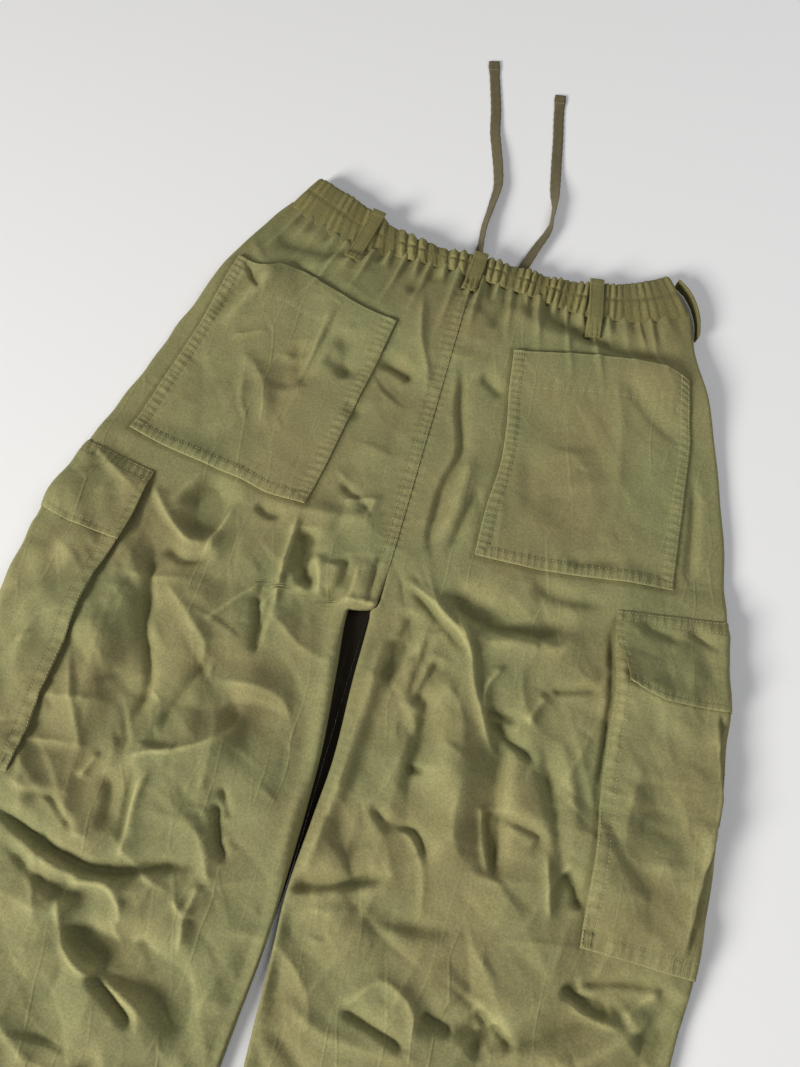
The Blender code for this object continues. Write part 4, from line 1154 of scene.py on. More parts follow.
def buildBackPocket(side):
    # a patch sewn on with two rows, with a deep hem at its mouth
    edges = pocketEdges[side]
    plan, acrossMm, downMm, length, height = pocketPoints(edges)
    x = plan[..., 0]
    y = plan[..., 1]
    fromLeft = acrossMm[None, :] + 0.0 * y
    fromTop = downMm[:, None] + 0.0 * y
    fromBottom = height - fromTop
    fromSide = np.minimum(fromLeft, length - fromLeft)
    sewnEdge = np.minimum(fromSide, fromBottom)
    z = backZ(side, x, y) + pocketMake["lift"]
    wear = 0.8 * sampled(wearAndShadeMap, x, y)
    z += pocketMake["bandRise"] * (1.0 - smoothStep(9.4, 11.4, sewnEdge))
    walk = np.where(fromBottom < fromSide, fromLeft, fromTop)
    ripple = seamPucker(walk, 6.6, 40 + len(side), sewnEdge, 6.5, 6.0)
    z += pocketMake["pucker"] * ripple
    wear += 0.55 * ripple
    for row in (pocketMake["rowOne"], pocketMake["rowTwo"]):
        sinkRow(z, wear, sewnEdge, row, 0.35, 0.7, 0.8)
    z -= bell(sewnEdge, 0.0, 0.8)
    wear += 0.8 * bell(sewnEdge, 0.0, 1.4)
    # the mouth's hem, and the mouth that stands open
    hemDepth = pocketMake["hemDepth"]
    z += pocketMake["hemRise"] * (1.0 - smoothStep(hemDepth - 1.0, hemDepth + 1.2, fromTop))
    z += 0.3 * seamPucker(fromLeft, 8.5, 60 + len(side), fromTop, hemDepth, 6.0)
    sinkRow(z, wear, fromTop, hemDepth, 0.4, 0.7, 1.0)
    wear += 0.7 * bell(fromTop, 0.0, 1.6)
    mouthX, mouthY, lift, reach = edges["mouth"]
    z += (lift * bell(x, mouthX, reach) * bell(y, mouthY, 1.3 * reach)
          * smoothStep(0.0, 14.0, fromSide))
    z += 0.8 * smoothStep(10, 40, fromSide) * bell(fromTop, 0.0, 14.0)
    points = np.stack((x, y, z), -1)
    name = f"backPocket{side.capitalize()}"
    piece = clothSheet(name, points, clothTwill, wear)
    standsFor(f"back_pocket_{side}")
    rows, columns = points.shape[:2]
    last = columns - 1
    one, two = [indexAt(acrossMm, pocketMake[row]) for row in ("rowOne", "rowTwo")]
    oneLow, twoLow = [indexAt(downMm, height - pocketMake[row]) for row in ("rowOne", "rowTwo")]
    wide = halfSteps(columns, two, last - two)
    lines = [
        walkOn(points, halfSteps(rows, high=oneLow), one),
        walkOn(points, halfSteps(rows, high=twoLow), two),
        walkOn(points, halfSteps(rows, high=oneLow), last - one),
        walkOn(points, halfSteps(rows, high=twoLow), last - two),
        walkOn(points, oneLow, halfSteps(columns, one, last - one)),
        walkOn(points, twoLow, wide),
        walkOn(points, indexAt(downMm, hemDepth), wide),
    ]
    thread = sewn(f"{name}Stitches", lines, threadCotton)
    middle = 0.5 * (one + two)
    tackColumns = [column + shift for column in (middle, last - middle)
                   for shift in (-2.2, -0.7, 0.8, 2.3)]
    tack = tacked(f"{name}Tacks", points, (0.5, 7.0), tackColumns, pitch=1.2, length=1.6,
                  thickness=0.55)
    return piece, [thread, tack], length * mm, height * mm


backPockets = {side: buildBackPocket(side) for side in sideSign}
reportStage("back pockets")


cargo = {
    # how far the face lifts off the leg at its back edge and in its middle, the flap's upper and
    # lower edge as y at x 0 and slope, x and droop of its low edge, and y and x of a deep pleat
    "left": {
        "edgeLift": 3.2, "middleLift": 3.0, "flapTop": (23.0, -0.19),
        "flapBottom": (-41.0, -0.157), "pleat": None,
        "flapSag": ((-330, 0), (-285, 3), (-255, 1), (-240, 0))},
    "right": {
        "edgeLift": 2.4, "middleLift": 4.5, "flapTop": (23.5, 0.165),
        "flapBottom": (-4.0, 0.0),
        "flapSag": ((212, -7), (223, -1), (238, 4), (255, 7), (280, 5), (312, 1)),
        "pleat": ((-6, 303), (-60, 315), (-82, 319), (-126, 314), (-205, 306))},
}
cargoMake = {
    "step": 2.1,             # mesh spacing on the back and on the front
    "frontStep": 8.0,
    "wall": 1.0,
    "underFlap": 12.0,       # the face starts this far below the flap's upper edge
    # stitch rows from the edges of the face and of the flap
    "edgeRow": 1.6,
    "backRow": 11.4,
    "hemRow": 12.0,
    "flapStep": 1.9,
    "flapWall": 1.3,
    "flapTopRow": 10.0,
    "flapRow": 6.0,
    # close rows and columns at the edges, in mm from them
    "rim": (0.0, 0.5, 1.3, 2.2, 3.4, 5.0, 7.5, 10.0, 11.4, 12.6, 14.0),
    "lowRim": (0.0, 0.5, 1.3, 2.2, 3.4, 5.0, 7.0, 9.0, 10.4, 12.0, 13.4, 15.0),
    "flapTopRim": (0.0, 0.5, 1.2, 2.0, 3.2, 5.0, 7.0, 8.8, 10.0, 11.2, 13.0),
    "flapRim": (0.0, 0.4, 1.0, 2.0, 3.4, 5.0, 6.0, 7.2, 9.0),
}
# y and x of each pocket's back edge
cargoLanes = {
    "left": np.array(((-211, -250), (-41, -244), (-18, -240), (-2, -237), (67, -232)), float),
    "right": np.array(((-215, 226), (-12, 213), (7, 211), (23, 208), (47, 205)), float),
}


def shadeOutlines():
    # painted shadow: dark lines on the panels close beside what is sewn on them
    for side, sign in sideSign.items():
        outlines = [[(x + right, y + up) for x, y in pocketEdges[side][edge]]
                    for edge, right, up in (("left", -1.2, 0.0), ("right", 1.2, 0.0),
                                            ("bottom", 0.0, -1.2), ("top", 0.0, 1.2))]
        outlines.append([(x - 1.4 * sign, y) for y, x in cargoLanes[side]])
        for path in outlines:
            addFold(wearAndShadeMap, path, -2.6, 2.2, 0.0, 1.3, 0.0, 0.0)


shadeOutlines()
panels = buildPanels()
reportStage("back and front panels")


def cargoLane(side, y):
    return smoothCurve(*cargoLanes[side].T, y)


def cargoOffset(side, x, y):
    # how high the pocket's face lies over the leg
    sizes = cargo[side]
    lane = cargoLane(side, y)
    across = np.clip((x - lane) / (legShape(side, y)[1] - lane), 0.0, 1.0)
    edge = sizes["edgeLift"]
    lift = edge + (sizes["middleLift"] - edge) * np.sin(0.5 * math.pi * across)
    drop = smoothStep(0.0, 60.0, cargoSizes[side]["faceTop"] - y)
    close = smoothStep(0.0, 35.0, y - cargoSizes[side]["bottom"])
    return 1.6 + lift * drop * (0.15 + 0.85 * close)


def faceRelief(side, x, y):
    # soft unevenness of the pocket's own cloth
    own = 1.9 * waves(x, y, 70.0, 73 + len(side)) + 1.0 * waves(x, y, 32.0, 75 + len(side))
    inward = (x - cargoLane(side, y)) * sideSign[side]
    return np.maximum(own, -1.2) * smoothStep(4.0, 30.0, inward)


def wrappedPoints(side, yZero, slope, start, offset, frontOffset, frontHalf, rim):
    # rows that run over the back ply, round the side edge and along the front ply
    sign = sideSign[side]
    rows = []
    span = np.abs(legShape(side, np.array([yZero[0]]))[1][0] - start[0]) - 5.0
    stops = spacing(span, cargoMake["step"], rim, ()) / span
    turns = np.radians((75.0, 58.0, 40.0, 22.0, 5.0, -15.0, -38.0, -62.0))
    ahead = spacing(frontHalf - 5.0, cargoMake["frontStep"])
    for level, tilt, begin, raised in zip(yZero, slope, start, frontOffset):
        yEdge = np.array([level])
        for _ in range(5):
            outer = legShape(side, yEdge)[1]
            yEdge = level + tilt * outer
        middle = outer - sign * 5.0
        x = begin + (middle - begin) * stops
        y = level + tilt * x
        z = backZ(side, x, y) + offset(x, y)
        edgeZ = 5.0 + garment["cargoStack"] * cargoZone(side, outer, yEdge)
        reach = 5.9 + 0.2 * offset(middle, yEdge)
        frontHeight = frontZ(side, middle, yEdge) - raised
        rise = np.where(turns > 0.0, z[-1] - edgeZ, edgeZ - frontHeight)
        xFront = middle - sign * ahead
        rows.append(np.concatenate((
            np.stack((x, y, z), -1),
            np.stack((middle + sign * reach * np.cos(turns), yEdge + 0.0 * turns,
                      edgeZ + rise * np.sin(turns)), -1),
            np.stack((xFront, yEdge + 0.0 * xFront,
                      frontZ(side, xFront, yEdge + 0.0 * xFront) - raised), -1))))
    return np.array(rows), stops * span


def wrapShares(points, walked, atEdge):
    # each point's distance from the back edge, and how far it belongs to the back of the leg
    fromBack = np.full(points.shape[:2], 99.0)
    fromBack[:, :len(walked)] = walked
    onBack = np.zeros(points.shape[1])
    onBack[:len(walked)] = 1.0
    onBack[len(walked):len(walked) + 3] = atEdge
    return fromBack, onBack


def middleLength(points):
    return np.linalg.norm(np.diff(points[len(points) // 2], axis=0), axis=1).sum()


def pressPleat(side, points, wear, there):
    # a raised fold with a deep step beside it, and painted shadow in the step
    x, y, z = np.moveaxis(points, -1, 0)
    beyond = x - smoothCurve(*np.array(cargo[side]["pleat"][::-1], float).T, y)
    depth = cargoOffset(side, x, y) + 1.6
    along = smoothStep(-205.0, -170.0, y) * (1.0 - smoothStep(-30.0, -4.0, y))
    step = smoothStep(-0.6, 1.4, beyond) * (1.0 - smoothStep(7.0, 20.0, beyond))
    z += (1.6 * bell(beyond, -5.0, 6.0) - depth * step) * along * there
    wear += (1.6 * bell(beyond, -3.0, 3.0) - 4.5 * bell(beyond, 1.6, 2.4)
             + 0.9 * smoothStep(4.0, 7.0, beyond)) * along


def buildCargoFace(side):
    # the pocket's face, which wraps round the side edge onto the front ply
    make = cargoMake
    topY, topSlope = cargo[side]["flapTop"]
    topY = topY - make["underFlap"]
    height = topY - cargoSizes[side]["bottom"]
    down = spacing(height, make["step"], (), make["lowRim"])
    yZero = topY - down
    slope = topSlope * (1.0 - down / height) ** 1.3
    lane = cargoLane(side, yZero + slope * cargoLane(side, yZero))
    points, walked = wrappedPoints(side, yZero, slope, lane, lambda x, y: cargoOffset(side, x, y),
                                   1.35 + 0.0 * yZero, cargoSizes[side]["frontHalf"], make["rim"])
    x, y, z = np.moveaxis(points, -1, 0)
    fromBack, onBack = wrapShares(points, walked, 0.6)
    fromBottom = (height - down)[:, None] + 0.0 * x
    wear = 0.7 * wearAndShadeAt(points) * onBack
    own = faceRelief(side, x, y) * smoothStep(6.0, 40.0, fromBottom) * onBack
    ripple = seamPucker(y, 9.0, 80 + len(side), fromBack, 7.0, 7.0)
    ripple += seamPucker(x, 8.0, 85 + len(side), fromBottom, 7.0, 7.0) * onBack
    z += own + 0.4 * ripple
    wear += 0.25 * own + 0.4 * ripple
    for row in (make["edgeRow"], make["hemRow"]):
        sinkRow(z, wear, fromBottom, row, 0.4, 0.7, 1.0, onBack)
    sinkRow(z, wear, fromBack, make["backRow"], 0.35, 0.5, 1.0)
    z -= 1.4 * bell(fromBottom, 0.0, 1.0) * onBack + 0.8 * bell(fromBack, 0.0, 0.9)
    wear += 0.9 * bell(fromBack, 0.0, 1.5) + 0.8 * bell(fromBottom, 0.0, 1.5)
    if cargo[side]["pleat"]:
        pressPleat(side, points, wear, np.minimum(1.0, onBack + 0.5))
    name = f"cargoFace{side.capitalize()}"
    piece = clothSheet(name, points, clothTwill, wear, make["wall"])
    standsFor(f"cargo_face_{side}")
    rows, columns = points.shape[:2]
    count = len(walked)
    backRow, edgeRow = [indexAt(walked, make[row]) for row in ("backRow", "edgeRow")]
    lowOne, lowTwo = [indexAt(down, height - make[row]) for row in ("edgeRow", "hemRow")]
    lines = [
        walkOn(points, halfSteps(rows), edgeRow),
        walkOn(points, halfSteps(rows, high=lowTwo), backRow),
        walkOn(points, lowOne, halfSteps(columns, edgeRow, count + 3)),
        walkOn(points, lowTwo, halfSteps(columns, backRow, count + 3)),
    ]
    thread = sewn(f"{name}Stitches", lines, threadCotton)
    squares = (0.5 * backRow,) if side == "left" else (0.5 * backRow, count - 8.0, count + 1.0)
    tackColumns = [middle + shift for middle in squares for shift in (-2.4, 2.4)]
    tack = tacked(f"{name}Tacks", points, (lowTwo, lowOne), tackColumns, pitch=1.4, length=1.7,
                  thickness=0.55)
    return piece, [thread, tack], middleLength(points) * mm, height * mm


def buildCargoFlap(side):
    # the flap over the pocket, sewn on at its upper edge
    make, sign = cargoMake, sideSign[side]
    topY, topSlope = cargo[side]["flapTop"]
    lowY, lowSlope = cargo[side]["flapBottom"]
    height = topY - lowY + (topSlope - lowSlope) * sign * 258.0
    down = spacing(height, make["flapStep"], make["flapTopRim"], make["flapRim"])
    share = down / height
    yZero = topY + (lowY - topY) * share
    slope = topSlope + (lowSlope - topSlope) * share
    lane = cargoLane(side, yZero + slope * cargoLane(side, yZero)) - sign * 1.5

    def offset(x, y):
        # from the leg at the upper edge up onto the pocket's face
        climb = smoothStep(0.0, 16.0, topY + topSlope * x - y)
        onFace = cargoOffset(side, x, y) + 2.6 + faceRelief(side, x, y)
        return 1.6 + climb * (onFace - 1.6)

    raised = 1.8 + 1.4 * smoothStep(0.0, 0.25, share)
    points, walked = wrappedPoints(side, yZero, slope, lane, offset, raised,
                                   cargoSizes[side]["frontHalf"] + 2.0, make["flapRim"])
    x, y, z = np.moveaxis(points, -1, 0)
    fromBack, onBack = wrapShares(points, walked, 0.7)
    fromTop = down[:, None] + 0.0 * x
    fromBottom = height - fromTop
    wear = 0.5 * wearAndShadeAt(points) * onBack
    before = offset(x, y) + backZ(side, x, y)
    if side == "right":
        # the low corner is drawn in and stands up
        x += 10.0 * bell(fromBack, 0.0, 30.0) * bell(fromBottom, 0.0, 24.0)
    lowX, drop = np.array(cargo[side]["flapSag"], float).T
    y -= smoothStep(12.0, height, fromTop) * np.interp(x, lowX, drop) * onBack ** 2
    z += (offset(x, y) + backZ(side, x, y) - before) * (onBack > 0.9)
    if side == "right":
        z += 4.0 * bell(fromBack, 0.0, 12.0) * smoothStep(15.0, 55.0, fromTop)
    bow = np.sin(math.pi * np.clip(fromTop / height, 0, 1)) * onBack
    z += (1.4 * smoothStep(0, 20, fromBack) + 0.9 * waves(x, y, 48.0, 93)) * bow
    top = seamPucker(x, 6.0, 95, fromTop, 5.5, 5.5) * onBack
    edge = seamPucker(y, 6.4, 97, fromBack, 4.0, 4.5)
    low = seamPucker(x, 7.0, 99, fromBottom, 4.0, 4.5) * onBack
    z += 0.5 * top + 0.3 * edge + 0.35 * low
    wear += 0.55 * top + 0.4 * edge + 0.4 * low
    for distance, row in ((fromTop, "edgeRow"), (fromTop, "flapTopRow"), (fromBack, "flapRow"),
                          (fromBottom, "flapRow")):
        sinkRow(z, wear, distance, make[row], 0.38, 0.7, 0.9, onBack)
    z -= 0.9 * bell(fromTop, 0.0, 0.9) * onBack
    wear += (bell(fromBottom, 0.0, 1.5) + 0.8 * bell(fromBack, 0.0, 1.4)
             + 0.6 * bell(fromTop, 0.0, 1.4)) * onBack
    name = f"cargoFlap{side.capitalize()}"
    piece = clothSheet(name, points, clothTwill, wear, make["flapWall"])
    standsFor(f"cargo_flap_{side}")
    rows, columns = points.shape[:2]
    topRow, secondRow, lowRow = [indexAt(down, at) for at in (
        make["edgeRow"], make["flapTopRow"], height - make["flapRow"])]
    sideRow = indexAt(walked, make["flapRow"])
    across = halfSteps(columns, sideRow, len(walked) + 3)
    lines = [
        walkOn(points, topRow, halfSteps(columns, high=len(walked) + 3)),
        walkOn(points, secondRow, across),
        walkOn(points, lowRow, across),
        walkOn(points, halfSteps(rows, secondRow, lowRow), sideRow),
    ]
    thread = sewn(f"{name}Stitches", lines, threadCotton)
    return piece, [thread], middleLength(points) * mm, height * mm


def buildGusset(side):
    # the fold of cloth that lets the pocket's back edge stand off the leg
    sign = sideSign[side]
    y = np.linspace(-14.0, cargoSizes[side]["bottom"] + 6.0, 70)
    x = cargoLane(side, y) + sign * 7.0
    ground = backZ(side, x, y)
    low = ground + 0.6
    high = np.maximum(low + 0.8, ground + cargoOffset(side, x, y) - 1.4)
    points = np.array([
        np.stack((x + sign * 1.2 * math.sin(math.pi * share), y, low + (high - low) * share), -1)
        for share in (0.0, 0.33, 0.66, 1.0)])
    # painted shade: the gusset, in the gap under the face's edge, takes the dark hollow colour
    piece = clothSheet(f"cargoGusset{side.capitalize()}", points, clothTwill,
                       np.full(points.shape[:2], -1.0), 0.6)
    standsFor(f"cargo_gusset_{side}")
    return piece


cargoFaces = {side: buildCargoFace(side) for side in sideSign}
cargoFlaps = {side: buildCargoFlap(side) for side in sideSign}
cargoGussets = {side: buildGusset(side) for side in sideSign}
reportStage("cargo pockets and flaps")


band = {
    "pleats": 46,            # gathers along the back and along the front
    "frontPleats": 34,
    "depth": 3.3,
    "wall": 1.4,
    "width": 410.0,
    "rows": (0.06, 0.5, 0.9),    # stitch rows, as shares of the height
    "seed": 21,
}


def pleatShape(share, level, pleats, seed):
    # uneven, slanting gathers: round tops and narrow valleys
    rng = np.random.default_rng(seed)
    drift = 0.0
    for k in range(1, 7):
        swing = rng.normal(0.0, 0.55)
        drift = drift + swing * np.sin(math.pi * k * share + rng.uniform(0, 6.28)) / k
    slant = 0.5 * np.sin(5.0 * share + 1.0) + 0.35
    phase = pleats * share + 2.4 * drift + slant * (level - 0.5)
    fine = 0.35 * np.sin(2.0 * math.pi * (2.3 * pleats * share + 3.0 * level))
    crest = np.abs(np.sin(math.pi * phase)) ** 0.75
    uneven = 1.0 + 0.6 * np.sin(2.0 * math.pi * (0.23 * pleats * share + 0.6 * drift) + 1.0)
    return (crest * uneven + 0.25 * fine) - 0.6


def buildBand(fromBack):
    # one ply of the waistband, gathered by its elastic
    table = backBand if fromBack else frontBand
    pleats = band["pleats"] if fromBack else band["frontPleats"]
    width = band["width"]
    rim = np.array((0.35, 1.0, 2.0, 3.4)) / width
    columns = np.linspace(0.0, 1.0, 380 if fromBack else 220)
    columns = np.sort(np.concatenate((columns, rim, 1.0 - rim)))
    levels = np.concatenate((np.linspace(0.0, 0.86, 22 if fromBack else 12),
                             (0.89, 0.92, 0.945, 0.965, 0.98, 0.992, 1.0)))
    s, q = np.meshgrid(columns, levels)
    share = (table[:, 0] - table[0, 0]) / (table[-1, 0] - table[0, 0])
    lowX, lowY, topX, topY = [smoothCurve(share, table[:, k], s) for k in range(4)]
    pleat = pleatShape(s, q, pleats, band["seed"] + fromBack)
    fromEnd = np.minimum(s, 1.0 - s)
    ends = smoothStep(0.0, 0.02, fromEnd) * (0.3 + 0.7 * smoothStep(0.06, 0.34, fromEnd))
    pinch = 1.0 - 0.65 * bell(q, 0.52, 0.07) - 0.35 * bell(q, 0.04, 0.06)
    scallop = (1.1 * pleat + 1.3 * waves(s * width, 0.0 * s, 26.0, 33)) * smoothStep(0.6, 1.0, q)
    low = 1.0 - smoothStep(0.0, 0.2, q)
    x = lowX + (topX - lowX) * q + 0.9 * np.cos(2 * math.pi * pleats * s) * (q - 0.5) * ends
    y = lowY + (topY - lowY) * q + (scallop - 0.5 * pleat * low) * ends
    depth = band["depth"] * pleat * pinch * ends
    roll = 1.0 - quarterRound((1.0 - q) / 0.12)
    if fromBack:
        top = garment["waistHeight"] + 1.2 + 1.6 * np.sin(math.pi * np.clip(q, 0, 1)) + depth
        top = top - 0.7 * bell(q, 0.52, 0.035) - 4.6 * roll - 1.2 * bell(q, 0.0, 0.05)
        edge = garment["edgeRadius"] + 0.8
    else:
        top = 1.9 + 0.45 * (1.3 - np.clip(pleat, -1.0, 1.2)) * ends + 1.6 * roll
        edge = garment["edgeRadius"] - 0.8
    z = edge + (top - edge) * quarterRound(fromEnd * width / garment["edgeRadius"])
    points = np.stack((x, y, z), -1)
    # painted shade in pleat hollows and stitch row; darker low edge; paler rubbed top fold
    wear = 0.9 * depth - 0.5 * low - 0.9 * bell(q, 0.52, 0.04) + 1.4 * smoothStep(0.9, 1.0, q)
    end = "Back" if fromBack else "Front"
    piece = clothSheet(f"waistband{end}", points, bandTwill, wear, band["wall"], not fromBack)
    standsFor(f"waistband_{end.lower()}")
    if not fromBack:
        return piece, []
    wide = np.arange(4.0, points.shape[1] - 5.0, 0.5)
    lines = [walkOn(points, indexAt(levels, level), wide) for level in band["rows"]]
    return piece, [sewn("waistbandBackStitches", lines, bandThread, pitch=3.3)]


waistbands = [buildBand(True), buildBand(False)]


loops = {
    "width": 14.5,
    "wall": 1.4,
    "row": 2.2,              # stitch rows from the long edges
    # plan points of the lower and the upper end
    "back": {
        "belt_loop_centre": ((-2, 333), (1, 379)),
        "belt_loop_back_left": ((-123, 333), (-111, 397)),
        "belt_loop_back_right": ((128, 319), (119, 382)),
    },
    "front": {
        "belt_loop_side_left": ((-186, 352), (-170, 409)),
        "belt_loop_front_left": ((-80, 310), (-77, 365)),
        "belt_loop_front_right": ((80, 308), (77, 363)),
    },
    "sidePath": ((200, 409), (211, 400), (221, 385), (227.5, 368), (230.5, 351)),
}


def backTop(x, y):
    # outer surface of the back ply and of the waistband on it
    panel = np.where(x < 0.0, backZ("left", np.minimum(x, -0.5), y),
                     backZ("right", np.maximum(x, 0.5), y))
    onBand = garment["waistHeight"] + 1.2 + 1.6 + 0.8
    return panel + (onBand - panel) * smoothStep(-9.0, -1.0, y - bandLow(x))


def buildLoop(node, start, finish, onBack):
    start = np.array(start, float)
    finish = np.array(finish, float)
    length = float(np.hypot(*(finish - start)))
    run = (finish - start) / length
    aside = np.array((run[1], -run[0]))
    rim = (0.0, 0.4, 1.0, 1.9, 2.8, 3.8)
    sideRim = (0.0, 0.4, 1.0, 1.8, 2.6)
    down = spacing(length, 1.6, rim, rim)
    across = spacing(loops["width"], 1.5, sideRim, sideRim)
    t, w = np.meshgrid(down, across - loops["width"] / 2, indexing="ij")
    bow = np.sin(math.pi * t / length)
    x = start[0] + run[0] * t + aside[0] * (w + 0.6 * bow)
    y = start[1] + run[1] * t + aside[1] * (w + 0.6 * bow)
    fromEnd = np.minimum(t, length - t)
    fromSide = loops["width"] / 2 - np.abs(w)
    rounded = 1.0 - quarterRound(fromSide / 1.6)
    ripple = seamPucker(t, 7.0, 7)
    if onBack:
        # it bridges over the hollows of the gathers
        below = np.zeros_like(t)
        for shift in (-5.0, 0.0, 5.0):
            below = np.maximum(below, backTop(x + shift * aside[0], y))
        z = below + 1.9 + 1.3 * bow + 0.8 * (1.0 - smoothStep(5.0, 8.0, fromEnd))
        z += 0.06 * ripple
        z -= 0.45 * bell(fromSide, loops["row"], 0.7) + 0.4 * bell(fromEnd, 3.0, 0.9)
        z -= 1.2 * rounded + 1.4 * (1.0 - quarterRound(fromEnd / 1.6))
    else:
        z = 0.1 + 0.25 * rounded
    points = np.stack((x, y, z), -1)
    # rubbed long edges paler; painted shade in the stitch grooves
    wear = 0.9 * bell(fromSide, 0.0, 1.2) - 0.7 * bell(fromSide, loops["row"], 0.9) + 0.1 * ripple
    name = "".join(part.capitalize() for part in node.split("_"))
    piece = clothSheet(name, points, bandTwill, wear, loops["wall"], not onBack)
    standsFor(node)
    threads = []
    if onBack:
        every = np.arange(1.0, len(down) - 2.0, 0.5)
        inner = indexAt(across, loops["row"])
        lines = [walkOn(points, every, inner), walkOn(points, every, len(across) - 1 - inner)]
        lines += [walkOn(points, indexAt(down, level), np.linspace(1.5, len(across) - 2.5, 12))
                  for level in (2.4, 3.4, length - 3.4, length - 2.4)]
        threads.append(sewn(f"{name}Stitches", lines, bandThread, pitch=2.6, length=2.0))
    return piece, threads, loops["width"] * mm, length * mm


def buildSideLoop():
    # the loop over the right side edge, which bows away from the band and stands on its edge
    path = curvePoints(loops["sidePath"], 44)
    heights = np.linspace(1.5, 14.5, 11)
    bow = 0.9 * np.sin(math.pi * np.linspace(0.0, 1.0, len(path)))
    x, z = np.meshgrid(path[:, 0] + bow, heights, indexing="ij")
    y = path[:, 1][:, None] + 0.0 * x
    piece = clothSheet("BeltLoopSideRight", np.stack((x, y, z), -1), bandTwill,
                       np.full(x.shape, 0.2), loops["wall"])
    if piece.data.polygons[len(piece.data.polygons) // 2].normal.x < 0.0:
        piece.data.flip_normals()
    standsFor("belt_loop_side_right")
    return piece


beltLoops = {node: buildLoop(node, *ends, where == "back")
             for where in ("back", "front") for node, ends in loops[where].items()}
sideLoop = buildSideLoop()
reportStage("waistband and belt loops")


tape = {
    "width": 11.5,
    "thick": 1.2,
    # the flat ribbon's section: shares of its half width and half thickness, round and closed
    "section": ((-1.0, 0.0), (-0.94, 0.8), (-0.6, 1.0), (-0.2, 0.86), (0.2, 0.86), (0.6, 1.0),
                (0.94, 0.8), (1.0, 0.0), (0.94, -0.8), (0.6, -1.0), (0.2, -0.86),
                (-0.2, -0.86), (-0.6, -1.0), (-0.94, -0.8), (-1.0, 0.0)),
    # x, y, height of the middle, and how far the flat side has turned up, in degrees
    "left": ((1, 355, 7.3, 12), (-1, 369, 7.4, 20), (-3, 384, 7, 40), (-4, 404, 6.2, 62),
             (-5, 425, 5.4, 55), (-4, 447, 5, 48), (-3, 469, 4.2, 38), (-8, 496, 3.2, 30),
             (-16, 522, 2.6, 26), (-23, 545, 1.6, 14), (-29, 574, 1.2, 5), (-37, 604, 1, 2),
             (-44, 629, 1, 0), (-47, 640, 1, 0)),
    "right": ((37, 355, 7.3, 8), (41, 369, 7.4, 12), (45, 382, 7.2, 18), (50, 400, 6.8, 25),
              (56, 420, 6.2, 34), (60, 435, 5.8, 50), (61, 448, 5.6, 78), (60, 466, 5.2, 70),
              (57, 483, 3.8, 40), (54, 501, 2.4, 18), (50, 525, 1.4, 6), (45, 556, 1, 2),
              (39, 588, 1, 0), (35, 615, 1, 0)),
}


def buildTape(side):
    # one end of the drawstring: a flat ribbon that turns as it lies, folded and sewn at its tip
    path = curvePoints(np.array(tape[side], float), 190)
    run = np.gradient(path[:, :3], axis=0)
    run = run / np.linalg.norm(run, axis=1)[:, None]
    flat = np.cross(run, (0.0, 0.0, 1.0))
    flat = flat / np.linalg.norm(flat, axis=1)[:, None]
    up = np.cross(flat, run)
    turn = np.radians(path[:, 3])[:, None]
    wide = flat * np.cos(turn) + up * np.sin(turn)
    thin = up * np.cos(turn) - flat * np.sin(turn)
    along = np.linspace(0.0, 1.0, len(path))
    halfWidth = tape["width"] / 2 * (1.0 - 0.06 * np.sin(90.0 * along) ** 2)
    halfWidth = halfWidth * (1.0 + 0.13 * smoothStep(0.94, 0.965, along))
    halfThick = tape["thick"] / 2 + 0.6 * smoothStep(0.945, 0.953, along)
    curl = 0.5 * np.sin(38.0 * along) * (1.0 - smoothStep(0.5, 0.7, along))
    rings = []
    for a, b in tape["section"]:
        bend = (curl * (a * a - 0.4))[:, None]
        rings.append(path[:, :3] + wide * (a * halfWidth)[:, None]
                     + thin * (b * halfThick)[:, None] + thin * bend)
    points = np.stack(rings, axis=1)
    ends = [np.broadcast_to(path[k, :3], points[:1].shape) for k in (0, -1)]
    points = np.concatenate((ends[0], points, ends[1]))
    rows, columns = points.shape[:2]
    bm = bmesh.new()
    bmesh.ops.create_grid(bm, x_segments=columns - 1, y_segments=rows - 1, size=0.5,
                          calc_uvs=False)
    uv = bm.loops.layers.uv.new("Cut")
    placed = {}
    for vertex in bm.verts:
        column = round((vertex.co.x + 0.5) * (columns - 1))
        row = round((vertex.co.y + 0.5) * (rows - 1))
        placed[vertex] = (row, column)
        vertex.co = toFrame([points[row, column]])[0]
    for face in bm.faces:
        for loop in face.loops:
            row, column = placed[loop.vert]
            loop[uv].uv = (column / columns * 0.02, row * 0.0015)
    bmesh.ops.remove_doubles(bm, verts=bm.verts, dist=0.00002)
    bmesh.ops.recalc_face_normals(bm, faces=bm.faces)
    name = f"drawstring{side.capitalize()}"
    piece = finishMesh(meshFrom(bm, name), name, tapeCotton)
    standsFor(f"drawstring_{side}")
    length = float(np.linalg.norm(np.diff(path[:, :3], axis=0), axis=1).sum())
    centre = toFrame(path[::3, :3])
    [float(v) for v in toFrame([path[0, :3]])[0]]
    tip = int(round(0.958 * (len(path) - 1)))
    over = wide[tip] * halfWidth[tip] * 0.86
    middle = path[tip, :3] + thin[tip] * (halfThick[tip] + 0.15)
    thread = sewn(f"{name}Stitches", [np.linspace(middle - over, middle + over, 9)],
                  threadCotton, pitch=2.4, length=1.8)
    return piece, length, thread


drawstrings = {side: buildTape(side) for side in sideSign}
for side, (piece, length, thread) in drawstrings.items():
    reportStage(f"drawstring {side} {length:.0f} mm")


def panelWalk(side, xs, ys, lift):
    # a walk on the back ply
    return np.stack((xs, ys, backZ(side, xs, ys) + lift), -1)


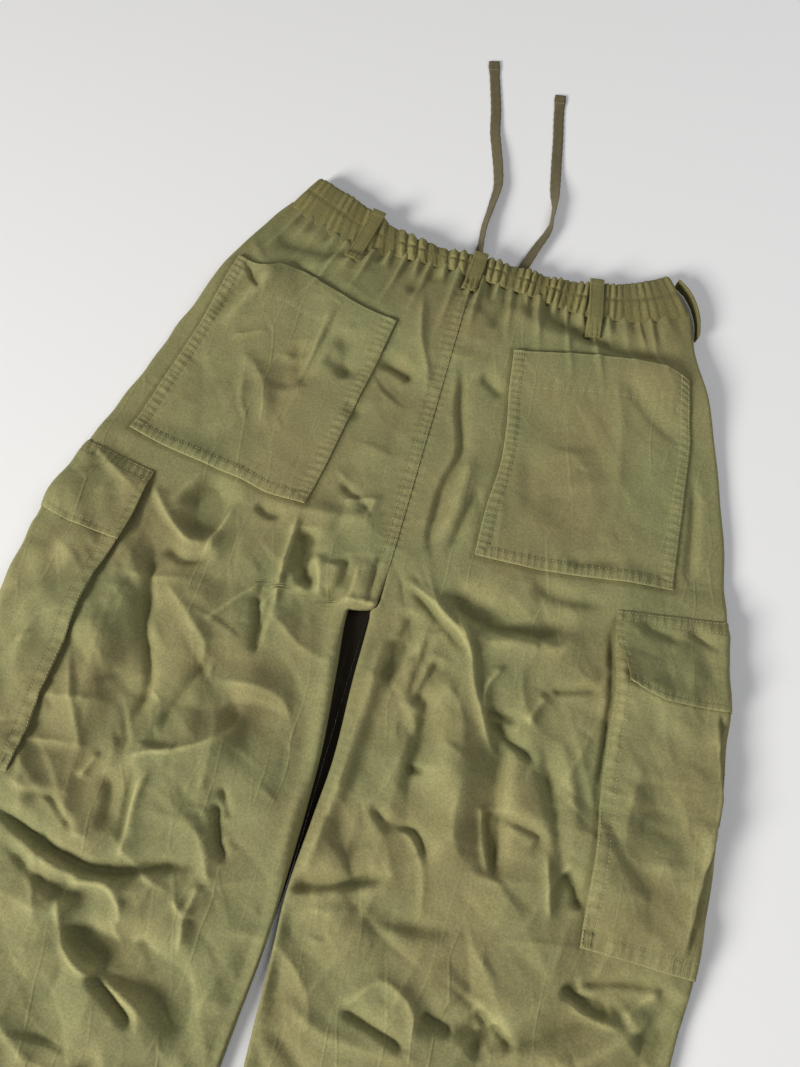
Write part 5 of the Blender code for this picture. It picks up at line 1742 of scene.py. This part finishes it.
seatY = np.arange(346.0, 50.0, -2.0)
seatThread = sewn("seatStitches", [
    panelWalk("left", np.full_like(seatY, seam[row]), seatY, seam["raised"] + 0.05)
    for row in ("rowLeft", "rowRight")], threadCotton)
hemLines = []
for side, (low, high) in (("left", (-284, -46)), ("right", (34, 275))):
    hemX = np.arange(low, high, 3.0)
    hemLines.append(panelWalk(side, hemX, np.full_like(hemX, hem["stitchY"]), 0.2))
hemThread = sewn("hemStitches", hemLines, threadCotton)


for side in sideSign:
    piece, threads, width, length = backPockets[side]
    piece, threads, width, length = cargoFaces[side]
    piece, threads, width, length = cargoFlaps[side]


stage = {
    "floor": "f1f1f0",       # satin white paint on a flat, hard surface: even, with a weak shine
    "floorHalf": 4.0,        # metres
    "room": "eeedee",
    "roomLight": 0.2,
    # place, target, width, height, power and tint
    "lamps": {
        "windowLight": ((-2.1, -2.3, 1.55), (0.0, -0.1, 0.0), 1.3, 1.1, 174.0, "fffdf9"),
        "overheadLight": ((1.3, 1.1, 2.0), (0.6, 0.7, 0.0), 1.6, 1.6, 20.0, "f7f9ff"),
    },
}


def aim(thing, place, target):
    thing.location = place
    turn = (Vector(target) - Vector(place)).to_track_quat("-Z", "Y")
    thing.rotation_euler = turn.to_euler()


def areaLight(name, place, target, width, height, power, tint):
    light = bpy.data.lights.new(name, "AREA")
    light.shape = "RECTANGLE"
    light.size = width
    light.size_y = height
    light.energy = power
    light.color = colour(tint)[:3]
    lamp = bpy.data.objects.new(name, light)
    bpy.context.scene.collection.objects.link(lamp)
    aim(lamp, place, target)
    return lamp


def buildStage():
    bm = bmesh.new()
    bmesh.ops.create_grid(bm, x_segments=1, y_segments=1, size=stage["floorHalf"])
    mesh = meshFrom(bm, "whiteSurface")
    mesh.materials.append(plainFinish("White painted surface", stage["floor"], 0.6))
    floor = bpy.data.objects.new("whiteSurface", mesh)
    bpy.context.scene.collection.objects.link(floor)
    [areaLight(name, *lamp) for name, lamp in stage["lamps"].items()]
    world = bpy.data.worlds.new("paleRoom")
    world.use_nodes = True
    fill(world.node_tree, world.node_tree.nodes["Background"],
         {"Color": colour(stage["room"]), "Strength": stage["roomLight"]})
    bpy.context.scene.world = world
    bpy.context.scene.view_settings.view_transform = "Standard"


camera = {
    "place": (0.0372, 0.0106, 0.704),
    "heading": (-0.17866, 0.98391),     # plan direction of the camera's upper side
    "tilt": 17.0,                       # degrees away from looking straight down
    "roll": (0.995, 0.096),             # cosine and sine of its turn about the line of sight
    "lens": 26.99,
    "sensor": 36.0,
}


def buildCamera():
    # above the seat, leaning towards the legs' lower end
    lens = bpy.data.cameras.new("camera")
    lens.lens = camera["lens"]
    lens.sensor_width = camera["sensor"]
    lens.sensor_height = camera["sensor"]
    lens.sensor_fit = "VERTICAL"
    lens.clip_start = 0.01
    view = bpy.data.objects.new("camera", lens)
    bpy.context.scene.collection.objects.link(view)
    tilt = math.radians(camera["tilt"])
    headX, headY = camera["heading"]
    forward = Vector((headX * math.sin(tilt), headY * math.sin(tilt), -math.cos(tilt)))
    level = Vector((headY, -headX, 0.0))
    above = level.cross(forward)
    c, s = camera["roll"]
    right = c * level + s * above
    up = c * above - s * level
    turn = Matrix((right, up, -forward)).transposed()
    view.matrix_world = Matrix.Translation(Vector(camera["place"])) @ turn.to_4x4()
    bpy.context.scene.camera = view


buildStage()
buildCamera()
reportStage("surface, light and camera")
